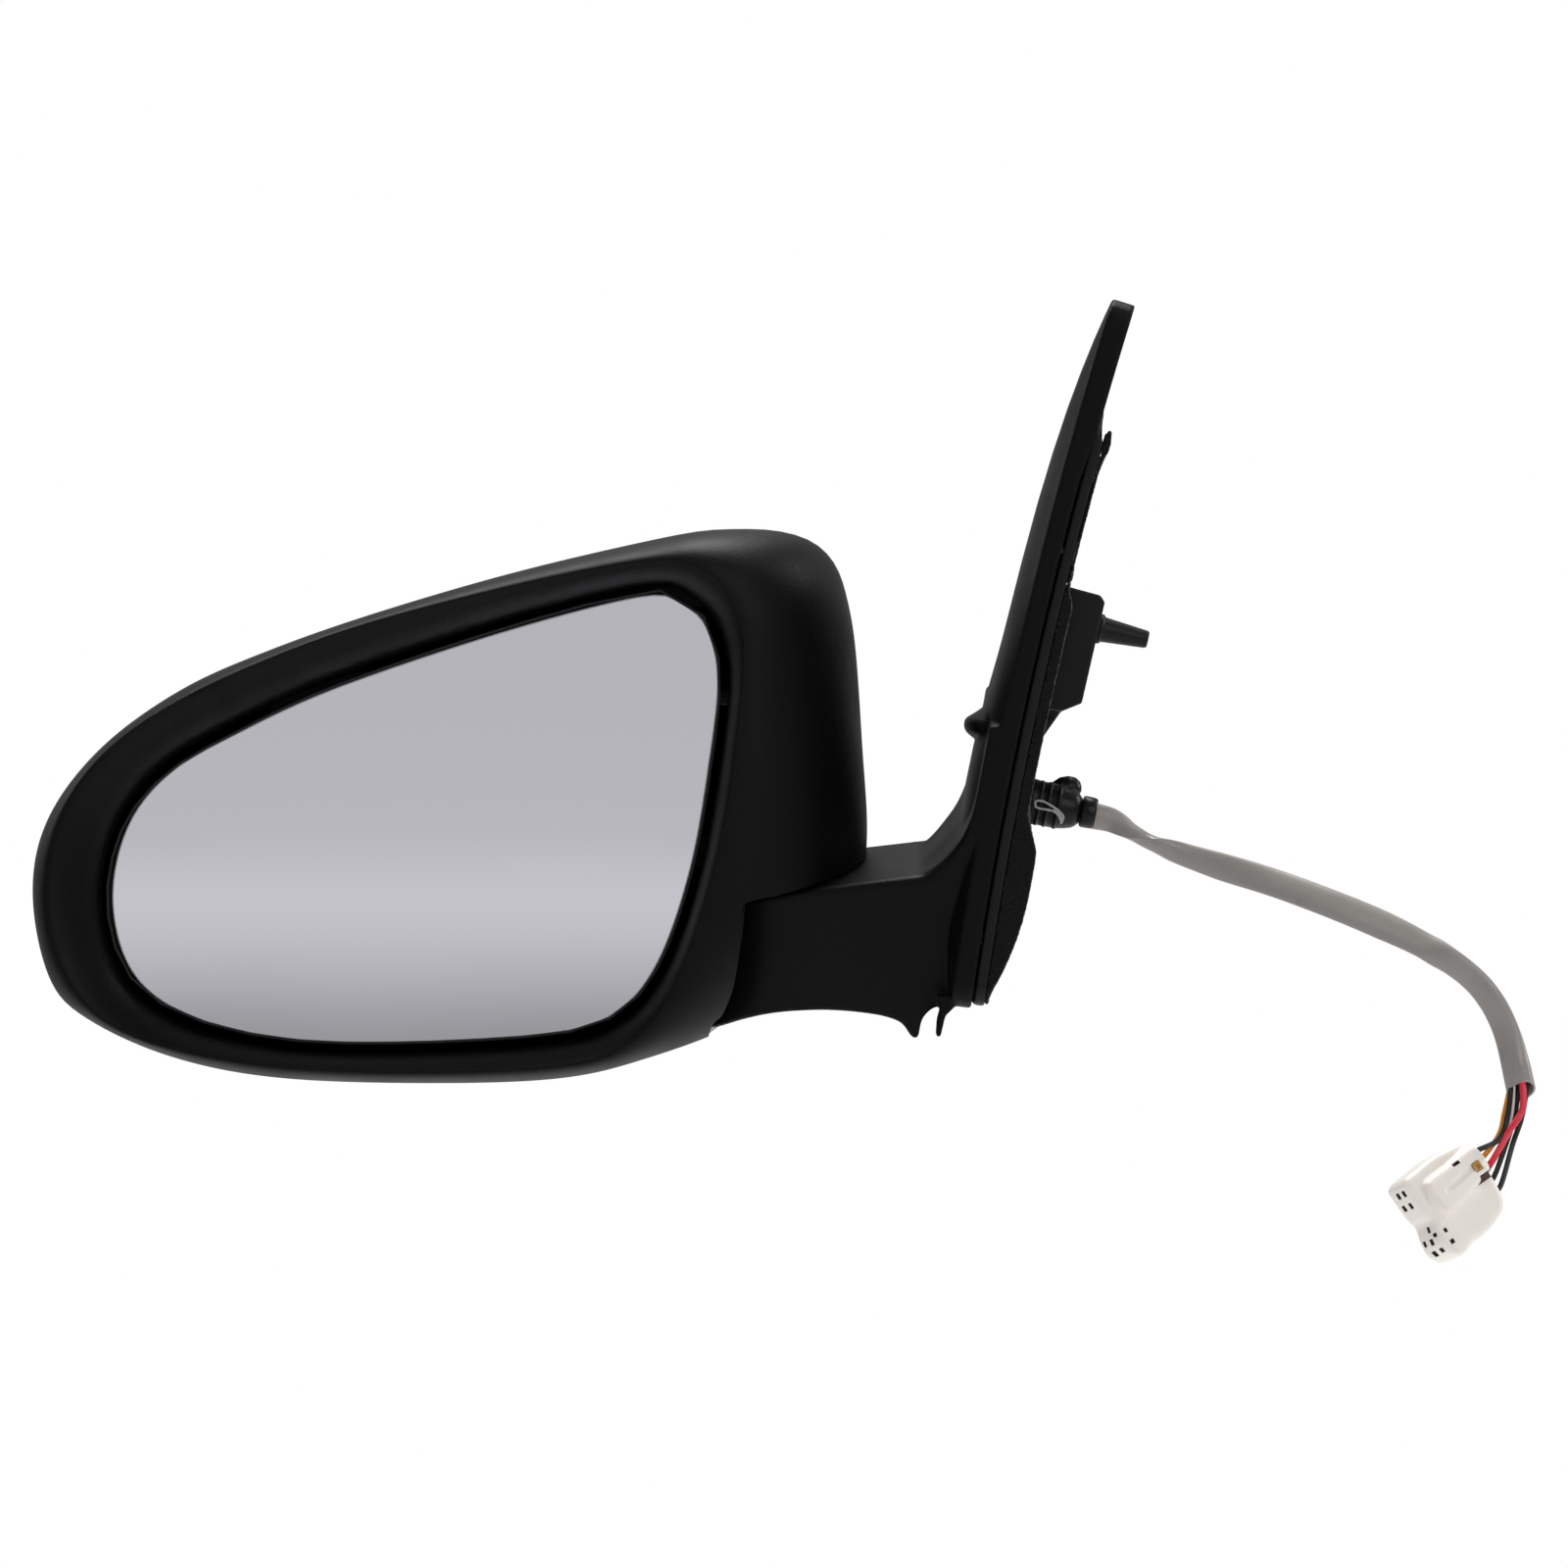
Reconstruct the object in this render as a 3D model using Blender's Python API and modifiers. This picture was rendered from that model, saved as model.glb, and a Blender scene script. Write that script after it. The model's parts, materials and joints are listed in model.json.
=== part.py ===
"""Left-hand door mirror of a car, with manual fold and a powered, heated flat glass.

Metres, +X inboard towards the car, +Y forward, +Z up.  The origin is the centre of the flat end
face of the mounting block that bears on the door.
"""
import math

import bmesh
import bpy
from mathutils import Matrix, Vector

MM = 0.001
GAP = 0.3 * MM                      # air between touching pieces
RING_POINTS = 48                    # points round each outline of the head

# ---- door side -------------------------------------------------------------------------------
DOOR_FOOT_X = -23.0 * MM            # outer rim of the sail at z = 0
DOOR_LEAN = 0.228                   # dx/dz of the door skin at z = 0
DOOR_CURVE = 0.395                  # d2x/dz2 / 2, per metre
COVER_RIM = 5.4 * MM                # depth of the cover's side wall
PLATE_OUT, PLATE_IN, PLATE_TOP_IN = 5.8 * MM, 9.3 * MM, 7.5 * MM
GASKET_OUT, GASKET_IN = 9.6 * MM, 12.8 * MM
GASKET_BULGE = 4.8 * MM             # extra foam at the foot of the sail
GASKET_TOP = 67 * MM                # the foam stops short of the sail's tip
BLOCK_REACH = -DOOR_FOOT_X / math.sqrt(1 + DOOR_LEAN ** 2)      # door skin to the block's end
INSERTS = [(-22, 58), (34, -38), (44, -88)]      # mm, (fore-aft, height) of the threaded bushes
ARM_SCREWS = [(-14, -86), (14, -86)]
COVER_SCREWS = [(-8, 46), (-26, 32)]
BLOCK_HALF_WIDTH, GUSSET_HALF_WIDTH = 22 * MM, 8 * MM
PIN_RISE = 7.5 * MM                 # locating pin above the middle of the block
COVER_WALL = 2.4 * MM
DOME_RISE = 6 * MM                  # how far the cover's outer face swells outboard
SAIL_STEPS = (0.3, 0.65, 0.93)      # rings of a sail-shaped plate, as shares of its outline

# ---- fold joint ------------------------------------------------------------------------------
FOLD_PIVOT = Vector((-94 * MM, -3 * MM, -68 * MM))
FOLD_AXIS = Vector((-0.13, -0.20, 1.0)).normalized()
DRUM_RADIUS = 29 * MM
NOTCH_RADIUS = 32.5 * MM             # clear of the drum, in the underside of the head
PARTING_GAP = 0.8 * MM
ARM_FLOOR_Z = -110.5 * MM
SHAFT_RADIUS, SHAFT_BORE = 9 * MM, 5.5 * MM
SHAFT_FOOT, SHAFT_TOP = -16 * MM, 44 * MM

# ---- head ------------------------------------------------------------------------------------
CREST_Y = -46 * MM                  # rearmost ring of the bezel
SEAM_Y = 12 * MM                    # bezel to front cap
CAP_DEPTH = 58 * MM
CAP_CENTRE = (-168 * MM, -50 * MM)
HEAD_CENTRE = (-200 * MM, -55 * MM)
SHELL_WALL = 2.4 * MM
GLASS_FACE_Y = -31 * MM
GLASS_THICK = 2.0 * MM
WELL_GAP = 3.0 * MM                 # glass edge to bezel

# ---- glass drive -----------------------------------------------------------------------------
PIVOT = Vector((-207 * MM, -17 * MM, -51 * MM))
LEVER = 32 * MM                     # plunger to pivot
PLUNGER_RADIUS = 2.6 * MM
BALL_RADIUS = 3.5 * MM
CASE_BACK_Y, CASE_SPLIT_Y, CASE_FRONT_Y = -6 * MM, 9 * MM, 21 * MM
CASE_HALF = 45 * MM
CASE_SCREWS = [(36, 36), (-36, 36), (-36, -38)]  # mm from the glass pivot, across and up
SHELL_SCREWS = [(51, 28), (51, -44), (-8, -53)]
GEAR_RADIUS, GEAR_Y = 9.5 * MM, 3.5 * MM
WORM_OFFSET = 13.6 * MM
MOTOR_RADIUS = 8 * MM

# ---- harness ---------------------------------------------------------------------------------
GROMMET_U, GROMMET_Z = -2 * MM, -45.5 * MM
GROMMET_HOLE = 7.4 * MM
SLEEVE_WIDTH, SLEEVE_THICK = 10.2 * MM, 5.4 * MM
SLEEVE_ROUTE = [(-3.7, -2, -51.1), (2.0, -2, -52.2), (21, -3, -59.3), (45, -5, -67.8), (78, -8, -79.5),
                (104, -10, -92), (120, -11, -105), (128, -11, -119), (131, -11, -134.6)]
WIRE_RADIUS = 0.8 * MM
CONNECTOR_CENTRE = Vector((107.5 * MM, -14 * MM, -168.5 * MM))
CONNECTOR_AXIS = Vector((-0.76, -0.38, -0.53)).normalized()

# Outlines seen from behind, (x, z) in millimetres, anticlockwise from the inboard side.
SILHOUETTE = [(-69, -58), (-70.5, -28), (-73, 2), (-79.5, 24), (-95, 35.5), (-122, 35.5),
              (-172, 25.5), (-215, 13.5), (-250, 1.5), (-278, -10.5), (-304, -28.5),
              (-320.5, -51), (-325, -74), (-319.5, -101), (-308, -113), (-281, -124.5),
              (-248, -130.5), (-202, -132), (-162, -130.5), (-134, -124.5), (-106, -114),
              (-86, -99), (-73, -79)]
CREST = [(-107, -4), (-108, 9.5), (-113, 20), (-122, 26.5), (-136, 28), (-181, 19.5),
         (-236, 4.5), (-286, -18), (-311, -40), (-320.5, -66), (-318, -94), (-300, -115.5),
         (-262, -126), (-215, -129), (-166, -127.5), (-145, -122), (-130, -106),
         (-119, -77), (-111, -42)]
GLASS = [(-114.6, -8), (-118, 7.5), (-125, 14.5), (-137, 17.3), (-180, 6), (-231, -11.5),
         (-262, -26), (-282, -38), (-295, -54), (-299.7, -76), (-294, -97), (-278, -109.5),
         (-250, -117), (-215, -118.6), (-166, -116), (-146, -110), (-133, -95), (-123, -66),
         (-117, -32)]
SAIL = [((-37, -108), 7), ((-37, 107), 6), ((-16, 107), 9), ((66, -78), 16), ((70, -104), 12),
        ((-24, -111), 8)]

parts = bpy.data.collections.new("door_mirror")
cutters = bpy.data.collections.new("cutters")


# ---- scene and material helpers ----------------------------------------------------------------
def clear_scene():
    for obj in list(bpy.data.objects):
        bpy.data.objects.remove(obj, do_unlink=True)
    for collection in (parts, cutters):
        bpy.context.scene.collection.children.link(collection)


def material(name, colour, roughness=0.5, metallic=0.0):
    mat = bpy.data.materials.get(name)
    if mat is None:
        mat = bpy.data.materials.new(name)
        mat.use_nodes = True
        shader = mat.node_tree.nodes["Principled BSDF"]
        shader.inputs["Base Color"].default_value = (*colour, 1.0)
        shader.inputs["Roughness"].default_value = roughness
        shader.inputs["Metallic"].default_value = metallic
    return mat


def black_plastic():
    return material("black_plastic", (0.03, 0.03, 0.032), 0.55)


def inner_plastic():
    return material("inner_plastic", (0.09, 0.09, 0.09), 0.5)


def steel():
    return material("steel", (0.55, 0.55, 0.56), 0.3, 1.0)


def die_cast():
    return material("die_cast", (0.42, 0.42, 0.43), 0.5, 1.0)


def brass():
    return material("brass", (0.75, 0.55, 0.25), 0.3, 1.0)


def rubber():
    return material("rubber", (0.02, 0.02, 0.02), 0.8)


# ---- frames ------------------------------------------------------------------------------------
def frame(origin, z_axis, x_hint=(1, 0, 0)):
    """A rigid matrix at origin whose +Z is z_axis and whose +X is as near x_hint as it can be."""
    z = Vector(z_axis).normalized()
    x = Vector(x_hint)
    x = (x - z * x.dot(z)).normalized()
    rotation = Matrix((x, z.cross(x), z)).transposed()
    return Matrix.Translation(Vector(origin)) @ rotation.to_4x4()


def empty(name, matrix, parent=None):
    """An empty that carries a moving body; its origin lies on the joint's axis."""
    obj = bpy.data.objects.new(name, None)
    obj.empty_display_size = 0.02
    parts.objects.link(obj)
    obj.parent = parent
    obj.matrix_world = matrix
    bpy.context.view_layer.update()
    return obj


def door_lean(z):
    return math.atan(DOOR_LEAN + 2 * DOOR_CURVE * z)


def door_point(u, z, w):
    """The point at fore-aft place u and height z on the door skin, w inboard along its normal."""
    x = DOOR_FOOT_X + DOOR_LEAN * z + DOOR_CURVE * z * z
    lean = door_lean(z)
    return Vector((x + w * math.cos(lean), u, z - w * math.sin(lean)))


def door_frame(u, z, w=0.0):
    """A frame on the door skin whose +Z points inboard along the skin's normal."""
    lean = door_lean(z)
    return frame(door_point(u, z, w), (math.cos(lean), 0, -math.sin(lean)), (0, 1, 0))


def block_frame(rise=0.0):
    """A frame on the mounting block's flat end: +Z inboard, +Y up; the part's origin is at its middle."""
    block = frame((0, 0, 0), (1, 0, -DOOR_LEAN), (0, 1, 0))
    return block @ Matrix.Translation((0, rise, 0))


# ---- mesh helpers ------------------------------------------------------------------------------
def add_object(name, bm, mat, matrix=None, parent=None, smooth=30):
    """Make an object of bm; with a parent, matrix is still its place in the world."""
    mesh = bpy.data.meshes.new(name)
    bm.to_mesh(mesh)
    bm.free()
    mesh.materials.append(mat)
    if smooth:
        mesh.shade_smooth()
        mesh.set_sharp_from_angle(angle=math.radians(smooth))
    obj = bpy.data.objects.new(name, mesh)
    parts.objects.link(obj)
    obj.parent = parent
    obj.matrix_world = matrix or Matrix()
    return obj


def as_cutter(obj):
    if obj.name in parts.objects:
        parts.objects.unlink(obj)
        cutters.objects.link(obj)
    obj.hide_render = True
    obj.display_type = "WIRE"
    return obj


def boolean(obj, other, operation="DIFFERENCE"):
    modifier = obj.modifiers.new(operation.lower(), "BOOLEAN")
    modifier.operation = operation
    modifier.solver = "EXACT"
    modifier.object = as_cutter(other)
    return obj


def bevel(obj, width, segments=2, angle=40):
    modifier = obj.modifiers.new("edges", "BEVEL")
    modifier.width = width
    modifier.segments = segments
    modifier.limit_method = "ANGLE"
    modifier.angle_limit = math.radians(angle)
    return obj


def box(name, mat, size, matrix, parent=None, rounding=0.0):
    """A box of the given full size centred on the matrix's origin."""
    bm = bmesh.new()
    bmesh.ops.create_cube(bm, size=1.0, matrix=Matrix.Diagonal((*size, 1.0)))
    obj = add_object(name, bm, mat, matrix, parent)
    return bevel(obj, rounding) if rounding else obj


def cylinder(name, mat, radius, z0, z1, matrix, parent=None, segments=20, top_radius=None):
    """A cylinder or cone from z0 to z1 along the matrix's +Z."""
    bm = bmesh.new()
    bmesh.ops.create_cone(bm, cap_ends=True, segments=segments, radius1=radius,
                          radius2=radius if top_radius is None else top_radius, depth=z1 - z0,
                          matrix=Matrix.Translation((0, 0, (z0 + z1) / 2)))
    return add_object(name, bm, mat, matrix, parent)


def turned(name, mat, profile, matrix, parent=None, segments=24):
    """A solid of revolution about the matrix's +Z; profile runs top to bottom down its outside."""
    bm = bmesh.new()
    verts = [bm.verts.new((r, 0, z)) for r, z in profile]
    closed = profile[0][0] > 0 or profile[-1][0] > 0
    for first, second in zip(verts, verts[1:] + verts[:1] if closed else verts[1:]):
        bm.edges.new((first, second))
    obj = add_object(name, bm, mat, matrix, parent)
    screw = obj.modifiers.new("turn", "SCREW")
    screw.steps = screw.render_steps = segments
    screw.use_merge_vertices = True
    screw.merge_threshold = 0.00001
    screw.use_smooth_shade = True
    return obj


def washer(name, mat, inner, outer, z0, z1, matrix, parent=None, segments=24):
    profile = [(outer, z1), (outer, z0), (inner, z0), (inner, z1)]
    return turned(name, mat, profile, matrix, parent, segments)


def spline(points, samples, closed):
    """Points along a Catmull-Rom curve through the given ones, samples to each span."""
    points = [Vector(point) for point in points]
    count = len(points)
    spans = count if closed else count - 1
    result = []
    for i in range(spans):
        if closed:
            a, b, c, d = (points[(i + k) % count] for k in (-1, 0, 1, 2))
        else:
            b, c = points[i], points[i + 1]
            a = points[i - 1] if i else b * 2 - c
            d = points[i + 2] if i + 2 < count else c * 2 - b
        for step in range(samples):
            t = step / samples
            result.append(0.5 * (2 * b + (c - a) * t + (2 * a - 5 * b + 4 * c - d) * t ** 2
                                 + (3 * b - a - 3 * c + d) * t ** 3))
    return result if closed else result + [points[-1]]


def rounded_polygon(corners, steps=5):
    """A polygon's outline with an arc of its own radius at each corner, in metres."""
    points = [Vector(corner) * MM for corner, _ in corners]
    outline = []
    for i, (_, radius) in enumerate(corners):
        here = points[i]
        before = (points[i - 1] - here).normalized()
        after = (points[(i + 1) % len(points)] - here).normalized()
        half = before.angle(after) / 2
        reach = radius * MM / math.tan(half)
        start, end = here + before * reach, here + after * reach
        centre = here + (before + after).normalized() * (radius * MM / math.sin(half))
        for step in range(steps + 1):
            point = start.lerp(end, step / steps)
            outline.append(centre + (point - centre).normalized() * radius * MM)
    return outline


def resample(outline, count):
    """The closed outline as count points evenly spaced along it."""
    ends = outline[1:] + outline[:1]
    lengths = [(b - a).length for a, b in zip(outline, ends)]
    spacing = sum(lengths) / count
    result, travelled, wanted = [], 0.0, 0.0
    for a, b, length in zip(outline, ends, lengths):
        while wanted <= travelled + length and len(result) < count:
            result.append(a.lerp(b, (wanted - travelled) / length))
            wanted += spacing
        travelled += length
    return result


def head_outline(points, grow=0.0):
    """RING_POINTS points of an outline of the head, at matching angles round HEAD_CENTRE."""
    centre = Vector(HEAD_CENTRE)
    fine = [Vector(point) * MM for point in spline([p + (0,) for p in points], 12, True)]
    polar = sorted((math.atan2(p.y - centre.y, p.x - centre.x),
                    math.hypot(p.x - centre.x, p.y - centre.y)) for p in fine)
    polar = [(polar[-1][0] - math.tau, polar[-1][1])] + polar + [(polar[0][0] + math.tau,
                                                                  polar[0][1])]
    outline = []
    for i in range(RING_POINTS):
        # Angles crowd towards the long axis, where the ends of the head curve most.
        angle = math.tau * i / RING_POINTS
        angle = math.atan2(0.62 * math.sin(angle), math.cos(angle))
        for (low, r_low), (high, r_high) in zip(polar, polar[1:]):
            if low <= angle <= high:
                radius = r_low + (r_high - r_low) * (angle - low) / (high - low)
                break
        direction = Vector((math.cos(angle), math.sin(angle)))
        outline.append(centre + direction * radius)
    return offset(outline, grow) if grow else outline


def offset(outline, distance):
    """An anticlockwise outline moved outwards by distance."""
    moved = []
    for i, point in enumerate(outline):
        along = outline[(i + 1) % len(outline)] - outline[i - 1]
        moved.append(point + Vector((along.y, -along.x)).normalized() * distance)
    return moved


def loft(bm, rings, cap_start=False, cap_end=False):
    """Join rings of equal length; going round to the left of travel, the faces look outwards."""
    loops = [[bm.verts.new(point) for point in ring] for ring in rings]
    for a, b in zip(loops, loops[1:]):
        for i in range(len(a)):
            j = (i + 1) % len(a)
            bm.faces.new((a[i], a[j], b[j], b[i]))
    for wanted, loop in ((cap_start, loops[0]), (cap_end, loops[-1])):
        if wanted:
            middle = bm.verts.new(sum((v.co for v in loop), Vector()) / len(loop))
            for i in range(len(loop)):
                bm.faces.new((loop[i - 1], loop[i], middle))
    return loops


def lofted(name, mat, rings, matrix=None, parent=None):
    """A closed solid through the rings."""
    bm = bmesh.new()
    loft(bm, rings, True, True)
    bmesh.ops.recalc_face_normals(bm, faces=bm.faces)
    return add_object(name, bm, mat, matrix, parent)


def at_depth(outline, y):
    return [Vector((p.x, y, p.y)) for p in outline]


def carry(obj, parent):
    """Hang a piece on an empty without moving it."""
    place = obj.matrix_world.copy()
    obj.parent = parent
    obj.matrix_world = place
    return obj


# ---- door side ---------------------------------------------------------------------------------
def sail_outline(inset=0.0):
    """The sail's outline, as (fore-aft, height), moved inwards by inset."""
    outline = resample(rounded_polygon(SAIL), 44)
    area = sum(a.x * b.y - b.x * a.y for a, b in zip(outline, outline[1:] + outline[:1]))
    return offset(outline, -inset if area > 0 else inset)


def sail_ring(outline, scale, w):
    centre = sum(outline, Vector((0, 0))) / len(outline)
    points = [centre + (point - centre) * scale for point in outline]
    return [door_point(p.x, p.y, w(p) if callable(w) else w) for p in points]


def sail_slab(name, mat, inset, w0, w1, dome=0.0):
    """A plate that follows the door skin from w0 to w1, its outboard face swollen by dome."""
    outline = sail_outline(inset)
    scales = SAIL_STEPS
    outer = [sail_ring(outline, s, w0 - dome * (1 - s ** 4)) for s in scales]
    inner = [sail_ring(outline, s, w1) for s in reversed(scales)]
    return lofted(name, mat, outer + [sail_ring(outline, 1, w0), sail_ring(outline, 1, w1)] + inner)


def foot_bulge(point):
    """The foam gasket's inboard face, thicker at the foot of the sail."""
    low = min(max((-46 * MM - point.y) / (16 * MM), 0), 1)
    toe = min(max((-80 * MM - point.y) / (24 * MM), 0), 1)
    return GASKET_IN + GASKET_BULGE * (low * low * (3 - 2 * low) - toe * toe)


def arm_plan(inset):
    """The arm from above in the fold frame: a half drum that tapers into the sail."""
    radius = DRUM_RADIUS - inset
    drum = [Vector((radius * math.cos(a), radius * math.sin(a)))
            for a in (math.pi * (0.5 + i / 20) for i in range(21))]
    rear, front = -28.5 * MM + inset, 25 * MM - inset
    return drum + [Vector((x * MM, rear)) for x in (22, 44, 66)] + \
        [Vector((x * MM, front + (radius - front) * (66 - x) / 90)) for x in (66, 44, 22)]


def arm_volume(name, inset, floor):
    """The arm without its fillet, less inset all round, cut off level at the floor height."""
    rings = []
    for z, shrink in ((-62, 0), (-2.2, 0), (-0.6, 0.6), (0, 2.2)):
        rings.append([Vector((p.x, p.y, z * MM - inset)) for p in arm_plan(inset + shrink * MM)])
    arm = lofted(name, black_plastic(), rings, frame(FOLD_PIVOT, FOLD_AXIS))
    below = box(name + "_floor", black_plastic(), (0.3, 0.2, 0.1),
                Matrix.Translation((-60 * MM, 0, floor - 0.05)))
    return boolean(arm, below)


def arm_fillet():
    """The flare by which the arm's top and front sweep into the sail's outer face."""
    rings = []
    for x in (36, 43, 49, 53, 56.5, 59.5, 61.5):
        flare = (x - 36) / 24
        front = 26 + 13 * flare ** 3
        top = -1 + 34 * flare ** 3
        corners = [((-27.9, -60), 1), ((front, -60), 1), ((front, top), 8), ((-27.9, top), 2.5)]
        rings.append([Vector((x * MM, p.x, p.y)) for p in rounded_polygon(corners, 4)])
    fillet = lofted("arm_fillet", black_plastic(), rings, frame(FOLD_PIVOT, FOLD_AXIS))
    below = box("fillet_floor", black_plastic(), (0.3, 0.2, 0.1),
                Matrix.Translation((-60 * MM, 0, ARM_FLOOR_Z - 0.3 * MM - 0.05)))
    return boolean(fillet, below)


def door_hole(name, radius, u, z, w0=-0.02, w1=0.04, segments=20):
    return cylinder(name, steel(), radius, w0, w1, door_frame(u, z), None, segments)


def block_prism(name, profile, half_width):
    """A prism across the mounting block, from its (up, inboard) profile in millimetres."""
    rings = [[Vector((u, y * MM, z * MM)) for y, z in profile] for u in (-half_width, half_width)]
    return lofted(name, die_cast(), rings, block_frame())


def base_plate():
    plate = sail_slab("base_plate", die_cast(), 1.2 * MM, PLATE_OUT, PLATE_IN)
    step = sail_slab("plate_step", die_cast(), -8 * MM, PLATE_TOP_IN, 30 * MM)
    boolean(step, box("step_end", die_cast(), (0.3, 0.3, 0.3),
                      Matrix.Translation((0, 0, GASKET_TOP - 0.15))))
    boolean(plate, step)
    deep = (PLATE_IN - BLOCK_REACH) / MM - 1.5
    boolean(plate, block_prism("block", [(17.5, deep), (17, -1.8), (15.2, 0), (-16.2, 0),
                                         (-20, -5.3), (-21, deep)], BLOCK_HALF_WIDTH), "UNION")
    boolean(plate, block_prism("gusset", [(-18, -5.3), (-20, -5.3), (-30, -9.4), (-36, deep),
                                          (-18, deep)], GUSSET_HALF_WIDTH), "UNION")
    for i, (u, z) in enumerate(INSERTS):
        boolean(plate, door_hole(f"insert_hole_{i}", 6 * MM, u * MM, z * MM))
    for i, (u, z) in enumerate(ARM_SCREWS):
        boolean(plate, door_hole(f"arm_screw_hole_{i}", 3.4 * MM, u * MM, z * MM))
    for i, (u, z) in enumerate(COVER_SCREWS):
        boolean(plate, door_hole(f"cover_screw_hole_{i}", 2.3 * MM, u * MM, z * MM, segments=12))
    boolean(plate, door_hole("harness_hole", GROMMET_HOLE, GROMMET_U, GROMMET_Z))
    for name, radius, depth in (("pin_hole", 3.3 * MM, 8 * MM), ("pin_seat", 5 * MM, 1.7 * MM)):
        boolean(plate, cylinder(name, steel(), radius, -depth, 0.02, block_frame(PIN_RISE), None, 20))
    return plate


def door_gasket():
    outline = sail_outline(1.6 * MM)
    scales = SAIL_STEPS
    rings = [sail_ring(outline, s, GASKET_OUT) for s in scales]
    rings += [sail_ring(outline, 1, GASKET_OUT)]
    rings += [sail_ring(outline, s, foot_bulge) for s in (1, *reversed(scales))]
    foam = lofted("door_gasket", material("foam", (0.05, 0.05, 0.055), 0.95), rings)
    boolean(foam, box("block_window", rubber(), (47 * MM, 42 * MM, 40 * MM),
                      block_frame(-1.8 * MM)))
    boolean(foam, box("gusset_window", rubber(), (2 * GUSSET_HALF_WIDTH + 3 * MM, 30 * MM, 40 * MM),
                      block_frame(-23.5 * MM)))
    boolean(foam, box("gasket_end", rubber(), (0.1, 0.2, 0.1),
                      Matrix.Translation((0, 0, GASKET_TOP + 0.05))))
    for i, (u, z) in enumerate(INSERTS + ARM_SCREWS + COVER_SCREWS):
        boolean(foam, door_hole(f"gasket_hole_{i}", 6.4 * MM, u * MM, z * MM, segments=16))
    return boolean(foam, door_hole("gasket_harness_hole", 8.8 * MM, GROMMET_U, GROMMET_Z))


def sail_cover():
    """The moulded skin of the sail and the arm, open towards the door and underneath."""
    cover = sail_slab("sail_cover", black_plastic(), 0, 0.8 * MM, COVER_RIM, DOME_RISE)
    arm = arm_volume("arm_outer", 0, ARM_FLOOR_Z)
    boolean(arm, arm_fillet(), "UNION")
    boolean(arm, sail_slab("arm_trim", black_plastic(), -30 * MM, COVER_RIM - 1.5 * MM, 60 * MM))
    boolean(cover, arm, "UNION")
    boolean(cover, sail_fin(), "UNION")
    hollow = sail_slab("sail_hollow", black_plastic(), COVER_WALL, 0.8 * MM + COVER_WALL,
                       COVER_RIM + 4 * MM, DOME_RISE)
    boolean(hollow, arm_volume("arm_hollow", COVER_WALL, ARM_FLOOR_Z - 8 * MM), "UNION")
    boolean(hollow, cylinder("detent_seat", steel(), 17.2 * MM, -10 * MM, 10 * MM,
                             frame(FOLD_PIVOT, FOLD_AXIS), None, 32), "UNION")
    for i, (u, z) in enumerate(COVER_SCREWS):
        boss = cylinder(f"cover_boss_{i}", black_plastic(), 4 * MM, -8 * MM, COVER_RIM,
                        door_frame(u * MM, z * MM), None, 12)
        boolean(hollow, boss)
    boolean(cover, hollow)
    for i, (u, z) in enumerate(COVER_SCREWS):
        boolean(cover, cylinder(f"boss_bore_{i}", black_plastic(), 1.7 * MM, -0.6 * MM, 0.02,
                                door_frame(u * MM, z * MM), None, 12))
    return cover


def sail_fin():
    """A small teardrop vane that runs fore and aft on the outer face of the sail."""
    bm = bmesh.new()
    bmesh.ops.create_uvsphere(bm, u_segments=16, v_segments=8, radius=1.0)
    place = door_frame(-14 * MM, -24 * MM, -4 * MM)
    shape = Matrix.Diagonal((17 * MM, 4.2 * MM, 7.5 * MM, 1))
    bm.transform(shape)
    return add_object("fin", bm, black_plastic(), place)


def arm_lower_cover():
    """The plate that closes the arm from below, inside the skin's wall."""
    plate = arm_volume("arm_lower_cover", COVER_WALL + GAP, ARM_FLOOR_Z + 0.3 * MM)
    slab = box("floor_slab", black_plastic(), (0.3, 0.2, 3 * MM),
               Matrix.Translation((-60 * MM, 0, ARM_FLOOR_Z + 1.8 * MM)))
    boolean(plate, slab, "INTERSECT")
    clear = sail_slab("door_clear", black_plastic(), -8 * MM, 3 * MM, 30 * MM)
    return boolean(plate, clear)


def arm_casting():
    """The die-cast arm inside the skin: the boss that holds the pivot shaft, and its beam."""
    fold = frame(FOLD_PIVOT, FOLD_AXIS)
    boss = cylinder("arm_casting", die_cast(), 24 * MM, -34 * MM, -4.5 * MM, fold, None, 32)
    beam = box("beam", die_cast(), (58 * MM, 35 * MM, 24 * MM),
               fold @ Matrix.Translation((29 * MM, -1 * MM, -21 * MM)))
    boolean(boss, beam, "UNION")
    clear = sail_slab("casting_clear", die_cast(), -8 * MM, PLATE_OUT - GAP, 40 * MM)
    boolean(boss, clear)
    boolean(boss, cylinder("shaft_seat", steel(), SHAFT_RADIUS + GAP, SHAFT_FOOT - GAP, 0.02,
                           fold))
    boolean(boss, cylinder("harness_turn", steel(), 5 * MM, -31 * MM, 0, fold, None, 16))
    boolean(boss, box("harness_duct", steel(), (90 * MM, 12 * MM, 12 * MM),
                      fold @ Matrix.Translation((44 * MM, 0, -25 * MM))))
    boolean(boss, box("harness_slot", steel(), (30 * MM, 12 * MM, 30 * MM),
                      fold @ Matrix.Translation((60 * MM, 0, -14 * MM))))
    for i, (u, z) in enumerate(ARM_SCREWS):
        boolean(boss, door_hole(f"arm_screw_bore_{i}", 2.9 * MM, u * MM, z * MM, segments=16))
    return boss


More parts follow.
